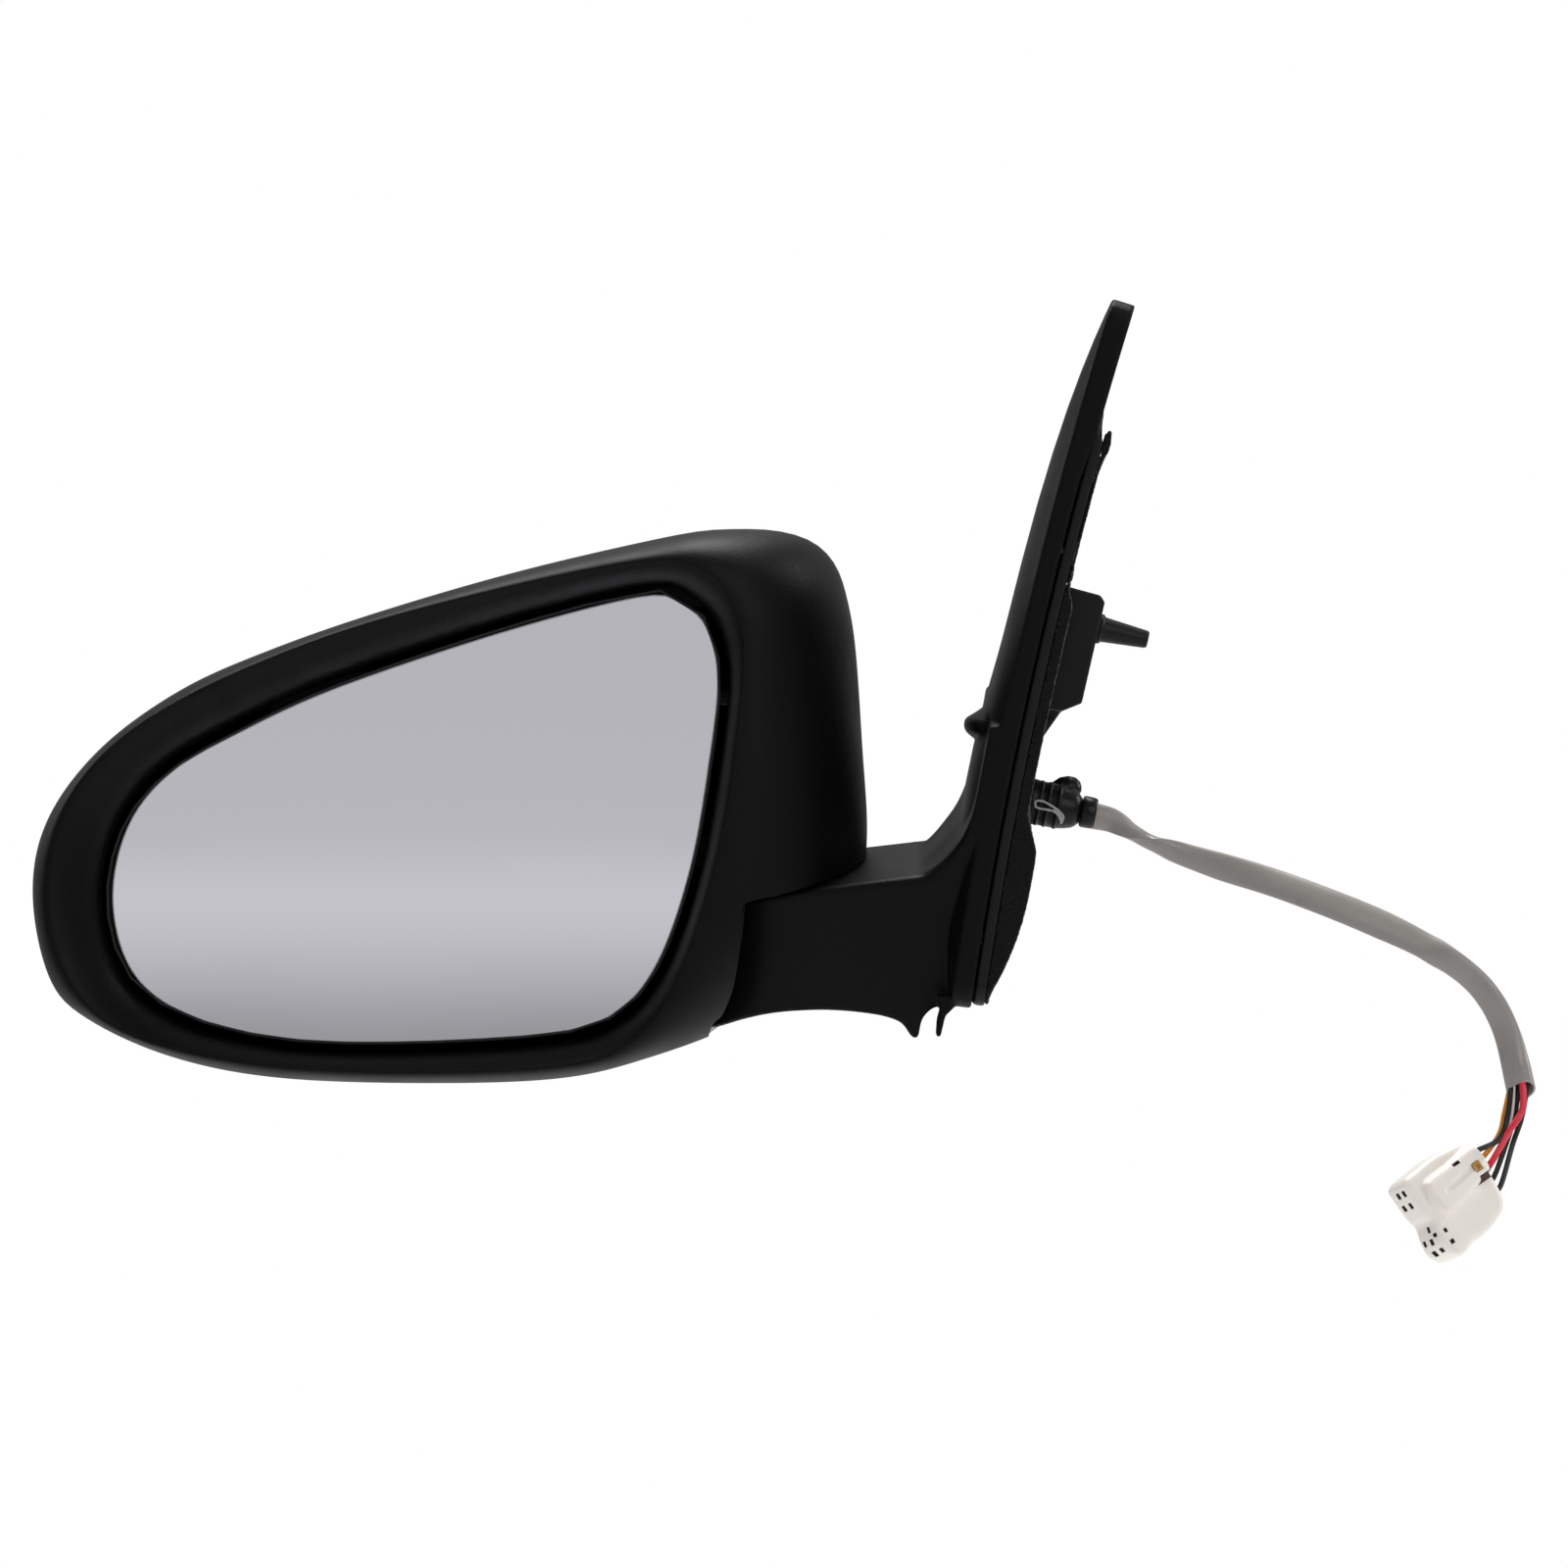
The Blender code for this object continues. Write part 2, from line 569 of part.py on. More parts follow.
def door_hardware():
    turned("locating_pin", material("glass_filled_nylon", (0.11, 0.11, 0.115), 0.4),
           [(0, 16 * MM), (2.5 * MM, 16 * MM), (2.9 * MM, 15.2 * MM), (4 * MM, 0), (4.6 * MM, 0),
            (4.6 * MM, -1.4 * MM), (3 * MM, -1.4 * MM), (3 * MM, -7 * MM), (0, -7 * MM)],
           block_frame(PIN_RISE))
    for i, (u, z) in enumerate(INSERTS):
        place = door_frame(u * MM, z * MM)
        turned(f"mount_insert_{i + 1}", steel(),
               [(5.7 * MM, 12.6 * MM), (5.7 * MM, 5.9 * MM), (3 * MM, 5.9 * MM),
                (3 * MM, 12.6 * MM)], place, None, 16)
    for i, (u, z) in enumerate(ARM_SCREWS):
        screw(f"arm_screw_{i + 1}", door_frame(u * MM, z * MM), PLATE_IN + GAP, 5 * MM, 3.4 * MM,
              2.6 * MM, 20 * MM)
    for i, (u, z) in enumerate(COVER_SCREWS):
        screw(f"cover_screw_{i + 1}", door_frame(u * MM, z * MM), PLATE_IN + GAP, 3.6 * MM,
              2.4 * MM, 1.4 * MM, PLATE_IN + GAP - 0.6 * MM)


def screw(name, place, seat, head_radius, head_height, shank_radius, length, parent=None):
    """A pan-head screw whose head sits on seat and whose shank runs back along -Z."""
    top = seat + head_height
    return turned(name, steel(),
                  [(0, top), (head_radius * 0.75, top), (head_radius, top - head_height * 0.4),
                   (head_radius, seat), (shank_radius, seat), (shank_radius, seat - length),
                   (0, seat - length)], place, parent, 12)


def fold_hardware():
    """The hollow pivot shaft and what is fast to it: the detent ring and the retaining ring."""
    fold = frame(FOLD_PIVOT, FOLD_AXIS)
    bore = SHAFT_RADIUS + GAP
    washer("pivot_shaft", steel(), SHAFT_BORE, SHAFT_RADIUS, SHAFT_FOOT, SHAFT_TOP, fold)
    washer("detent_ring_fixed", steel(), bore, 16.5 * MM, -4.2 * MM, 0.6 * MM, fold)
    washer("retaining_ring", steel(), bore, 14 * MM, 37.2 * MM, 39 * MM, fold)


def route(name, mat, points, radius, samples=3, resolution=2):
    """A round lead along a smooth curve through the points."""
    curve = bpy.data.curves.new(name, "CURVE")
    curve.dimensions = "3D"
    curve.bevel_depth = radius
    curve.bevel_resolution = resolution
    curve.use_fill_caps = True
    line = curve.splines.new("POLY")
    path = spline(points, samples, False)
    line.points.add(len(path) - 1)
    for spot, point in zip(line.points, path):
        spot.co = (*point, 1)
    curve.materials.append(mat)
    obj = bpy.data.objects.new(name, curve)
    parts.objects.link(obj)
    weld = obj.modifiers.new("caps", "WELD")
    weld.merge_threshold = 0.00001
    return obj


def harness():
    """The leads and everything on them, from the shaft to the connector."""
    place = door_frame(GROMMET_U, GROMMET_Z)
    fold = frame(FOLD_PIVOT, FOLD_AXIS)
    black = material("lead_black", (0.015, 0.015, 0.015), 0.5)
    profile = [(3.3, 28.9), (5.5, 28.9), (6.3, 27.2), (6.3, 25.8), (5.4, 25), (5.4, 24),
               (6.8, 23.2), (6.8, 21.6), (5.8, 20.8), (5.8, 19.8), (7.4, 18.8), (7.6, 14.5),
               (7.6, 13.2), (6.9, 12.9), (6.9, 6.2), (3.3, 6.2)]
    turned("harness_grommet", rubber(), [(r * MM, w * MM) for r, w in profile], place, None, 16)
    hook = route("harness_clip", steel(), [place @ (Vector(p) * MM) for p in
                                           ((-8.2, 3.4, 15.4), (-8.4, 0, 14.8), (-8.2, -2.2, 17),
                                            (-7.8, 0.4, 21), (-7.6, 3.4, 24.4))], 0.5 * MM)
    hook.data.bevel_resolution = 1
    inside = [place @ Vector((0, 0, w * MM)) for w in (28, 16, 5)]
    inside += [door_point(-2 * MM, z * MM, w * MM) for z, w in ((-50.5, 1.6), (-60, 0.6),
                                                               (-72, 0.2))]
    inside += [fold @ (Vector(p) * MM) for p in ((46, 0, -24.4), (34, 0, -25.3), (12, 0, -25.5),
                                                 (3.2, 0, -22.6), (0, 0, -15), (0, 0, 0),
                                                 (0, 0, 44.6))]
    route("harness_arm", black, inside, 2.3 * MM, 2)
    washer("sleeve_collar", rubber(), 5.6 * MM, 6.5 * MM, 29.3 * MM, 34 * MM, place, None, 20)
    cable_sleeve()
    connector()


def cable_sleeve():
    """The flat plastic sleeve over the leads, broad side to the rear."""
    section = bpy.data.curves.new("sleeve_section", "CURVE")
    section.dimensions = "2D"
    oval = section.splines.new("POLY")
    oval.use_cyclic_u = True
    oval.points.add(11)
    for i, spot in enumerate(oval.points):
        angle = -math.tau * i / 12
        spot.co = (SLEEVE_THICK / 2 * math.cos(angle), SLEEVE_WIDTH / 2 * math.sin(angle), 0, 1)
    guide = bpy.data.objects.new("sleeve_section", section)
    cutters.objects.link(as_guide(guide))
    sleeve = route("cable_sleeve", material("grey_sleeve", (0.3, 0.28, 0.27), 0.55),
                   [Vector(point) * MM for point in SLEEVE_ROUTE], 0, 2)
    sleeve.data.twist_mode = "Z_UP"
    sleeve.data.bevel_mode = "OBJECT"
    sleeve.data.bevel_object = guide


def as_guide(obj):
    obj.hide_render = True
    obj.display_type = "WIRE"
    return obj


def connector():
    nylon = material("natural_nylon", (0.78, 0.75, 0.68), 0.4)
    place = frame(CONNECTOR_CENTRE, CONNECTOR_AXIS, (0.5, 0, -0.83))
    body = box("connector_body", nylon, (25 * MM, 12.6 * MM, 25 * MM), place, None, 1.4 * MM)
    boolean(body, box("connector_ridge", nylon, (9 * MM, 6 * MM, 19 * MM),
                      place @ Matrix.Translation((1 * MM, 5 * MM, -1.5 * MM)), None, 1 * MM),
            "UNION")
    box("connector_retainer", nylon, (21 * MM, 9 * MM, 2.4 * MM),
        place @ Matrix.Translation((0, 0, 14 * MM)), None, 0.6 * MM)
    leads = [("wire_orange", (0.85, 0.45, 0.03)), ("wire_white", (0.8, 0.8, 0.78)),
             ("wire_black_1", (0.015, 0.015, 0.015)), ("wire_red", (0.75, 0.05, 0.1)),
             ("wire_black_2", (0.015, 0.015, 0.015)), ("wire_black_3", (0.015, 0.015, 0.015))]
    mouth = Vector(SLEEVE_ROUTE[-1]) * MM
    for i, (name, colour) in enumerate(leads):
        across = (i - 2.5) / 2.5
        side = 0.95 * MM if i % 2 else -0.95 * MM
        start = mouth + Vector((3.4 * MM * across, side, -1.5 * MM))
        end = place @ Vector((8 * MM * across, side, -12.5 * MM - GAP))
        away = end - CONNECTOR_AXIS * 7 * MM
        route(name, material("lead_" + name.split("_")[1], colour, 0.45),
              [start, start + Vector((0, 0, -8 * MM)), away, end], WIRE_RADIUS, 4)


# ---- head --------------------------------------------------------------------------------------
def notch(name):
    """The room that the head leaves for the arm, whatever the fold angle."""
    fold = frame(FOLD_PIVOT, FOLD_AXIS)
    profile = [(0, PARTING_GAP), (NOTCH_RADIUS, PARTING_GAP), (NOTCH_RADIUS, -70 * MM),
               (0, -70 * MM)]
    room = turned(name, black_plastic(), profile, fold, None, 48)
    front = box(name + "_front", black_plastic(), (92 * MM, 0.1, 70 * MM),
                fold @ Matrix.Translation((37 * MM, 48 * MM, PARTING_GAP - 35 * MM)))
    boolean(room, front, "UNION")
    side = [(90, 0.9), (-8, 0.9), (-10, -7.5), (-15, -14), (-23, -33), (-31, -40), (-36, -71),
            (90, -71)]
    rings = [[Vector((x * MM, y * MM, z * MM)) for x, z in side] for y in (-90, -2)]
    return boolean(room, lofted(name + "_rear", black_plastic(), rings, fold), "UNION")


def rim_rings():
    """Rings from the seam back over the rim's round to the crest of the bezel."""
    silhouette, crest = head_outline(SILHOUETTE), head_outline(CREST)
    seam = offset(silhouette, -0.6 * MM)
    rings = [at_depth(seam, SEAM_Y - GAP)]
    for t in (0.0, 0.3, 0.55, 0.8):
        ring = []
        for s, c in zip(silhouette, crest):
            drop = min(8 * MM + 1.25 * (s - c).length, 50 * MM)
            angle = t * math.pi / 2
            across = math.cos(angle) ** 1.15
            along = math.sin(angle) ** 1.15
            p = c + (s - c) * across
            ring.append(Vector((p.x, CREST_Y + drop * (1 - along), p.y)))
        rings.append(ring)
    rings.append(at_depth(crest, CREST_Y))
    return rings


def bezel():
    crest = head_outline(CREST)
    edge = offset(head_outline(GLASS), WELL_GAP)
    well_depth = GLASS_FACE_Y + 3 * MM - CREST_Y
    rings = rim_rings()
    for t in (0.15, 0.45, 1.0):
        inward, down = 1 - (1 - t) ** 1.5, t ** 1.35
        rings.append([Vector((*(c.lerp(e, inward)), 0)).xzy + Vector((0, CREST_Y + well_depth * down, 0))
                      for c, e in zip(crest, edge)])
    rings.append(at_depth(edge, GLASS_FACE_Y + 8 * MM))
    bm = bmesh.new()
    loft(bm, rings)
    shell = add_object("bezel", bm, black_plastic())
    solidify = shell.modifiers.new("wall", "SOLIDIFY")
    solidify.thickness = SHELL_WALL
    solidify.offset = -1
    boolean(shell, notch("bezel_notch"))
    return shell


def front_cap():
    seam = offset(head_outline(SILHOUETTE), -0.6 * MM)
    centre = Vector(CAP_CENTRE)
    rings = []
    for step in range(6):
        angle = math.radians(82) * (1 - step / 5)
        scale = math.cos(angle) ** 0.8
        ring = [centre + (p - centre) * scale for p in seam]
        rings.append(at_depth(ring, SEAM_Y + 3 * MM + CAP_DEPTH * math.sin(angle)))
    rings.append(at_depth(seam, SEAM_Y))
    bm = bmesh.new()
    loft(bm, rings, cap_start=True)
    bmesh.ops.recalc_face_normals(bm, faces=bm.faces)
    shell = add_object("front_cap", bm, black_plastic())
    solidify = shell.modifiers.new("wall", "SOLIDIFY")
    solidify.thickness = SHELL_WALL
    solidify.offset = -1
    boolean(shell, notch("cap_notch"))
    return shell


def cap_depth(x, z):
    """How far forward the front cap's outer surface lies at (x, z)."""
    centre = Vector(CAP_CENTRE)
    spot = Vector((x, z)) - centre
    seam = offset(head_outline(SILHOUETTE), -0.6 * MM)
    rim = min(seam, key=lambda p: (p - centre).angle(spot)) - centre
    scale = spot.length / rim.length
    return SEAM_Y + 3 * MM + CAP_DEPTH * math.sqrt(1 - scale ** 2.5)


def head_frame(head):
    """The frame that turns on the shaft and carries the shells and the glass drive."""
    fold = frame(FOLD_PIVOT, FOLD_AXIS)
    hub = cylinder("head_frame", inner_plastic(), 17 * MM, 5.6 * MM, 10.2 * MM, fold, None, 28)
    boolean(hub, box("frame_beam", inner_plastic(), (49.5 * MM, 30 * MM, 9 * MM),
                     fold @ Matrix.Translation((-39.25 * MM, 14.4 * MM, 10.2 * MM))), "UNION")
    web = box("frame_web", inner_plastic(), (100 * MM, 3.5 * MM, 96 * MM),
              Matrix.Translation((-200 * MM, 25.75 * MM, -62 * MM)))
    boolean(web, box("web_window", inner_plastic(), (46 * MM, 20 * MM, 46 * MM),
                     Matrix.Translation((PIVOT.x, 25 * MM, PIVOT.z))))
    boolean(hub, web, "UNION")
    boolean(hub, cylinder("hub_bore", steel(), SHAFT_RADIUS + 0.6 * MM, -0.01, 0.05, fold))
    for i, (x, z) in enumerate(CASE_SCREWS):
        boolean(hub, drive_hole(f"case_screw_hole_{i}", 2.1 * MM, x, z, 0.022, 0.03))
    for i, (x, z) in enumerate(SHELL_SCREWS):
        boolean(hub, drive_hole(f"shell_screw_hole_{i}", 2.1 * MM, x, z, 0.022, 0.03))
    washer("detent_ring_moving", steel(), SHAFT_RADIUS + 0.6 * MM, 16.5 * MM, 1.3 * MM, 5.3 * MM,
           fold, head)
    coils, steps = 4, 12
    helix = []
    for i in range(coils * steps + 1):
        angle = math.tau * i / steps
        helix.append(fold @ Vector((12 * MM * math.cos(angle), 12 * MM * math.sin(angle),
                                    (12 + 23.4 * i / (coils * steps)) * MM)))
    spring = route("fold_spring", steel(), helix, 1.3 * MM, 1, 1)
    return hub, spring


def drive_frame(x=0.0, z=0.0):
    """A frame abreast of the glass pivot whose +Z points forward along +Y; (x, z) from it."""
    return frame((PIVOT.x + x, 0, PIVOT.z + z), (0, 1, 0))


def drive_hole(name, radius, x, z, y0, y1, segments=12):
    return cylinder(name, steel(), radius, y0, y1, drive_frame(x * MM, z * MM), None, segments)


def glass_drive(head):
    """The motor case, its two screw-jacks and the pins of the glass's two axes."""
    inner = 2 * CASE_HALF - 4 * MM
    mid = Matrix.Translation((PIVOT.x, 0, PIVOT.z))
    back = box("actuator_case_back", inner_plastic(),
               (2 * CASE_HALF, CASE_SPLIT_Y - CASE_BACK_Y - GAP, 2 * CASE_HALF),
               mid @ Matrix.Translation((0, (CASE_BACK_Y + CASE_SPLIT_Y - GAP) / 2, 0)))
    boolean(back, box("back_room", inner_plastic(), (inner, 0.03, inner),
                      mid @ Matrix.Translation((0, CASE_BACK_Y + 2 * MM + 0.015, 0))))
    front = box("actuator_case_front", inner_plastic(),
                (2 * CASE_HALF, CASE_FRONT_Y - CASE_SPLIT_Y, 2 * CASE_HALF),
                mid @ Matrix.Translation((0, (CASE_FRONT_Y + CASE_SPLIT_Y) / 2, 0)))
    boolean(front, box("front_room", inner_plastic(), (inner, 0.03, inner),
                       mid @ Matrix.Translation((0, CASE_FRONT_Y - 2 * MM - 0.015, 0))))
    for side in (-1, 1):
        ear = box(f"pan_ear_{side}", inner_plastic(), (8 * MM, 15 * MM, 4 * MM),
                  mid @ Matrix.Translation((0, -13.2 * MM, side * 22 * MM)))
        boolean(back, ear, "UNION")
    boolean(back, cylinder("pan_pin_hole", steel(), 1.9 * MM, -0.03, 0.03,
                           Matrix.Translation(PIVOT), None, 12))
    for i, (x, z) in enumerate(((LEVER / MM, 0), (0, -LEVER / MM))):
        boolean(back, drive_hole(f"plunger_hole_{i}", PLUNGER_RADIUS + 0.8 * MM, x, z, -0.02,
                                 0.0, 16))
    for i, (x, z) in enumerate(CASE_SCREWS):
        post = drive_hole(f"case_post_{i}", 4 * MM, x, z, CASE_BACK_Y + 1 * MM,
                          CASE_SPLIT_Y - GAP, 16)
        boolean(back, post, "UNION")
        boolean(back, drive_hole(f"post_bore_{i}", 1.7 * MM, x, z, 0, 0.03))
        collar = drive_hole(f"case_collar_{i}", 4 * MM, x, z, CASE_SPLIT_Y, CASE_FRONT_Y - 1 * MM,
                            16)
        boolean(front, collar, "UNION")
        boolean(front, drive_hole(f"collar_bore_{i}", 1.7 * MM, x, z, 0, 0.03))
        screw(f"actuator_screw_{i + 1}", drive_frame(x * MM, z * MM), 27.8 * MM, 3.2 * MM,
              2.2 * MM, 1.4 * MM, 26 * MM, head)
    for i, (x, z) in enumerate(SHELL_SCREWS):
        place = frame((PIVOT.x + x * MM, 0, PIVOT.z + z * MM), (0, -1, 0))
        screw(f"frame_screw_{i + 1}", place, -23.7 * MM, 3.2 * MM, 2.2 * MM, 1.4 * MM, 14 * MM,
              head)
    for side, name in ((1, "pan_pin_upper"), (-1, "pan_pin_lower")):
        cylinder(name, steel(), 1.6 * MM, 13 * MM, 23.5 * MM,
                 frame(PIVOT, (0, 0, side)), head, 12)
    return back, front


def worm(name, matrix, parent):
    """A worm 12 mm long along +Z whose thread winds round its core."""
    rings = []
    for step in range(17):
        z = (step / 16 - 0.5) * 12 * MM
        ring = []
        for i in range(9):
            angle = math.tau * i / 9
            ridge = max(math.cos(angle - math.tau * z / (4 * MM)), -0.2)
            radius = (2.3 + 0.7 * ridge) * MM
            ring.append(Vector((radius * math.cos(angle), radius * math.sin(angle), z)))
        rings.append(ring)
    return lofted(name, brass(), rings, matrix, parent)


def gear(name, teeth, matrix, parent):
    outline = []
    for i in range(teeth * 4):
        radius = GEAR_RADIUS - (1.3 * MM if i % 4 in (0, 3) else 0)
        angle = math.tau * (i + 0.5) / (teeth * 4)
        outline.append((radius * math.cos(angle), radius * math.sin(angle)))
    rings = [[Vector((x, y, z)) for x, y in outline] for z in (-2.5 * MM, 2.5 * MM)]
    wheel = lofted(name, material("gear_nylon", (0.85, 0.84, 0.8), 0.4), rings, matrix, parent)
    return boolean(wheel, cylinder(name + "_bore", steel(), PLUNGER_RADIUS + 0.7 * MM, -0.01, 0.01,
                                   matrix, None, 12))


def screw_jacks(head):
    """For each axis of the glass: motor, worm, gear and the plunger that the gear drives."""
    along_x = frame((0, 0, 0), (1, 0, 0), (0, 1, 0))
    pan = Vector((LEVER, 0, 0))
    tilt = Vector((0, 0, -LEVER))
    pan_worm_at = pan + Vector((-WORM_OFFSET, 0, 0))
    tilt_worm_at = tilt + Vector((0, 0, WORM_OFFSET))
    level = Vector((PIVOT.x, GEAR_Y, PIVOT.z))
    for axis, spot, worm_at, turn in (("pan", pan, pan_worm_at, Matrix()),
                                      ("tilt", tilt, tilt_worm_at, along_x)):
        gear_place = frame(level + spot, (0, 1, 0))
        worm_place = Matrix.Translation(level + worm_at) @ turn
        toward_motor = 1 if axis == "pan" else -1
        motor_shift = Matrix.Translation((0, 0, toward_motor * 18.5 * MM))
        gear_body = empty(f"{axis}_gear_axis", gear_place, head)
        worm_body = empty(f"{axis}_worm_axis", worm_place, head)
        plunger_body = empty(f"{axis}_plunger_axis", frame(Vector((level.x, PIVOT.y, level.z))
                                                           + spot, (0, 1, 0)), head)
        gear(f"{axis}_gear", 16, gear_place, gear_body)
        worm(f"{axis}_worm", worm_place, worm_body)
        motor = cylinder(f"{axis}_motor", steel(), MOTOR_RADIUS - 0.6 * MM, -11 * MM, 11 * MM,
                         worm_place @ motor_shift, head, 20)
        bevel(motor, 1 * MM, 1)
        top = PLUNGER_RADIUS / BALL_RADIUS
        ball = [(BALL_RADIUS * math.sin(a), -BALL_RADIUS * math.cos(a))
                for a in (math.radians(12 * k) for k in range(12))]
        ball = [p for p in reversed(ball) if p[1] < 0 or p[0] > BALL_RADIUS * top]
        turned(f"{axis}_plunger", material("acetal", (0.8, 0.8, 0.78), 0.35),
               [(0, 30 * MM), (PLUNGER_RADIUS, 30 * MM), (PLUNGER_RADIUS, 3.2 * MM)] + ball,
               plunger_body.matrix_world, plunger_body, 16)


def gimbal(body):
    """The ring between the two glass axes, with the pins of the tilt axis."""
    place = frame((PIVOT.x, 0, PIVOT.z), (0, 1, 0))
    ring = washer("gimbal_ring", inner_plastic(), 12.5 * MM, 18 * MM, PIVOT.y - 3 * MM,
                  PIVOT.y + 3 * MM, place, body)
    for name, axis in (("ring_pan_hole", (0, 0, 1)), ("ring_tilt_hole", (1, 0, 0))):
        boolean(ring, cylinder(name, steel(), 1.9 * MM, -0.03, 0.03,
                               frame(PIVOT, axis, (0, 1, 0)), None, 12))
    for side, name in ((1, "tilt_pin_inboard"), (-1, "tilt_pin_outboard")):
        cylinder(name, steel(), 1.6 * MM, 13 * MM, 23.5 * MM,
                 frame(PIVOT, (side, 0, 0), (0, 1, 0)), body, 12)


def glass_pack(body):
    """Holder, heater and mirror glass, which tilt together."""
    pocket, rim = head_outline(GLASS, GAP), head_outline(GLASS, 1.1 * MM)
    holder = lofted("glass_holder", inner_plastic(),
                    [at_depth(pocket, GLASS_FACE_Y + 3.1 * MM),
                     at_depth(pocket, GLASS_FACE_Y - 0.2 * MM),
                     at_depth(rim, GLASS_FACE_Y - 0.2 * MM),
                     at_depth(rim, GLASS_FACE_Y + 5.6 * MM)])
    for side in (-1, 1):
        ear = box(f"tilt_ear_{side}", inner_plastic(), (4 * MM, 13 * MM, 8 * MM),
                  Matrix.Translation((PIVOT.x + side * 22 * MM, PIVOT.y - 3.5 * MM, PIVOT.z)))
        boolean(holder, ear, "UNION")
    boolean(holder, cylinder("tilt_pin_hole", steel(), 1.9 * MM, -0.03, 0.03,
                             frame(PIVOT, (1, 0, 0), (0, 1, 0)), None, 12))
    for i, (x, z) in enumerate(((LEVER, 0), (0, -LEVER))):
        cup = cylinder(f"cup_{i}", inner_plastic(), 6.4 * MM, GLASS_FACE_Y + 4 * MM,
                       PIVOT.y + 1.5 * MM, drive_frame(x, z), None, 16)
        boolean(holder, cup, "UNION")
        boolean(holder, cylinder(f"cup_bore_{i}", inner_plastic(), BALL_RADIUS + 0.9 * MM,
                                 GLASS_FACE_Y + 5.8 * MM, 0.0, drive_frame(x, z), None, 16))
    strip = Vector((PIVOT.x, GLASS_FACE_Y + 7.2 * MM, PIVOT.z + 34 * MM))
    terminal = box("heater_terminal", brass(), (32 * MM, 2.4 * MM, 5 * MM),
                   Matrix.Translation(strip))
    for side in (-1, 1):
        blade = box(f"terminal_blade_{side}", brass(), (6.3 * MM, 9 * MM, 0.9 * MM),
                    Matrix.Translation(strip + Vector((side * 11 * MM, 4 * MM, 0))))
        boolean(terminal, blade, "UNION")
    pad = lofted("heater_pad", material("heater_film", (0.1, 0.08, 0.05), 0.6),
                 [at_depth(head_outline(GLASS, -2 * MM), y)
                  for y in (GLASS_FACE_Y + 2.3 * MM, GLASS_FACE_Y + 2.8 * MM)])
    pane = lofted("mirror_glass", material("mirror", (0.7, 0.7, 0.72), 0.03, 1.0),
                  [at_depth(head_outline(GLASS), y)
                   for y in (GLASS_FACE_Y, GLASS_FACE_Y + GLASS_THICK)])
    for obj in (holder, terminal, pad, pane):
        carry(obj, body)


def head_harness():
    fold = frame(FOLD_PIVOT, FOLD_AXIS)
    top = fold @ Vector((0, 0, 45.4 * MM))
    points = [top, top + FOLD_AXIS * 5 * MM, Vector((-112, 2, -14)) * MM,
              Vector((-128, 14, -17)) * MM, Vector((-143, 15, -30)) * MM,
              Vector((-161.4, 14, -32)) * MM]
    return route("harness_head", material("lead_black", (0.015, 0.015, 0.015), 0.5), points,
                 2.3 * MM)


def build():
    clear_scene()
    base_plate()
    door_gasket()
    sail_cover()
    arm_lower_cover()
    arm_casting()
    door_hardware()
    fold_hardware()
    harness()
    head = empty("head_fold_axis", frame(FOLD_PIVOT, FOLD_AXIS))
    cap = front_cap()
    for i, (x, z) in enumerate(SHELL_SCREWS):
        spot = (PIVOT.x + x * MM, PIVOT.z + z * MM)
        boolean(cap, drive_hole(f"shell_boss_{i}", 3.4 * MM, x, z, 27.8 * MM,
                                cap_depth(*spot) - 1.4 * MM), "UNION")
        boolean(cap, drive_hole(f"shell_bore_{i}", 1.7 * MM, x, z, 0.02, 0.042))
    hub, spring = head_frame(head)
    for piece in (bezel(), cap, hub, *glass_drive(head), spring, head_harness()):
        carry(piece, head)
    screw_jacks(head)
    pan = empty("glass_pan_axis", Matrix.Translation(PIVOT), head)
    gimbal(pan)
    tilt = empty("glass_tilt_axis", frame(PIVOT, (1, 0, 0), (0, 1, 0)), pan)
    glass_pack(tilt)


build()
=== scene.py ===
"""Left-hand car door mirror, seen square from behind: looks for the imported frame."""
import json
import math
import bpy
import bmesh
import numpy as np
from mathutils import Matrix, Vector


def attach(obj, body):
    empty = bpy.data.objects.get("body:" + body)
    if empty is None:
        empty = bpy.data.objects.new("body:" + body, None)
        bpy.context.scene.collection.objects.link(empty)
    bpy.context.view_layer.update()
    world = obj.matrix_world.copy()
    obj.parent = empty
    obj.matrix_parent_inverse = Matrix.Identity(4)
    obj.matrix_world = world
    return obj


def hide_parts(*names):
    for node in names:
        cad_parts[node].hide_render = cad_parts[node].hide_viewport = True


MM = 0.001
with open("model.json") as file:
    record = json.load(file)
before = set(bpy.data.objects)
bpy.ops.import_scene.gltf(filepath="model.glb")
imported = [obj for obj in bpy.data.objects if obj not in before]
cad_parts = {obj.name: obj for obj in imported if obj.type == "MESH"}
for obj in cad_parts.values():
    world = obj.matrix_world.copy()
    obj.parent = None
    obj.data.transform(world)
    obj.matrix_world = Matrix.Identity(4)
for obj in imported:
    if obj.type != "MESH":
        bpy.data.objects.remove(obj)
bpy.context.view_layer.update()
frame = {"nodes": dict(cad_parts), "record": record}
nodes = frame["nodes"]

# ---- camera -------------------------------------------------------------------------------------
EYE = Vector((-0.0945, -3.343, -0.0405))
camera = bpy.data.objects.new("camera", bpy.data.cameras.new("camera"))
bpy.context.scene.collection.objects.link(camera)
camera.location = EYE
camera.rotation_euler = (math.pi / 2, 0, 0)
camera.data.lens, camera.data.sensor_width = 250, 36
camera.data.clip_end = 50
bpy.context.scene.camera = camera
bpy.context.scene.view_settings.view_transform = "Standard"

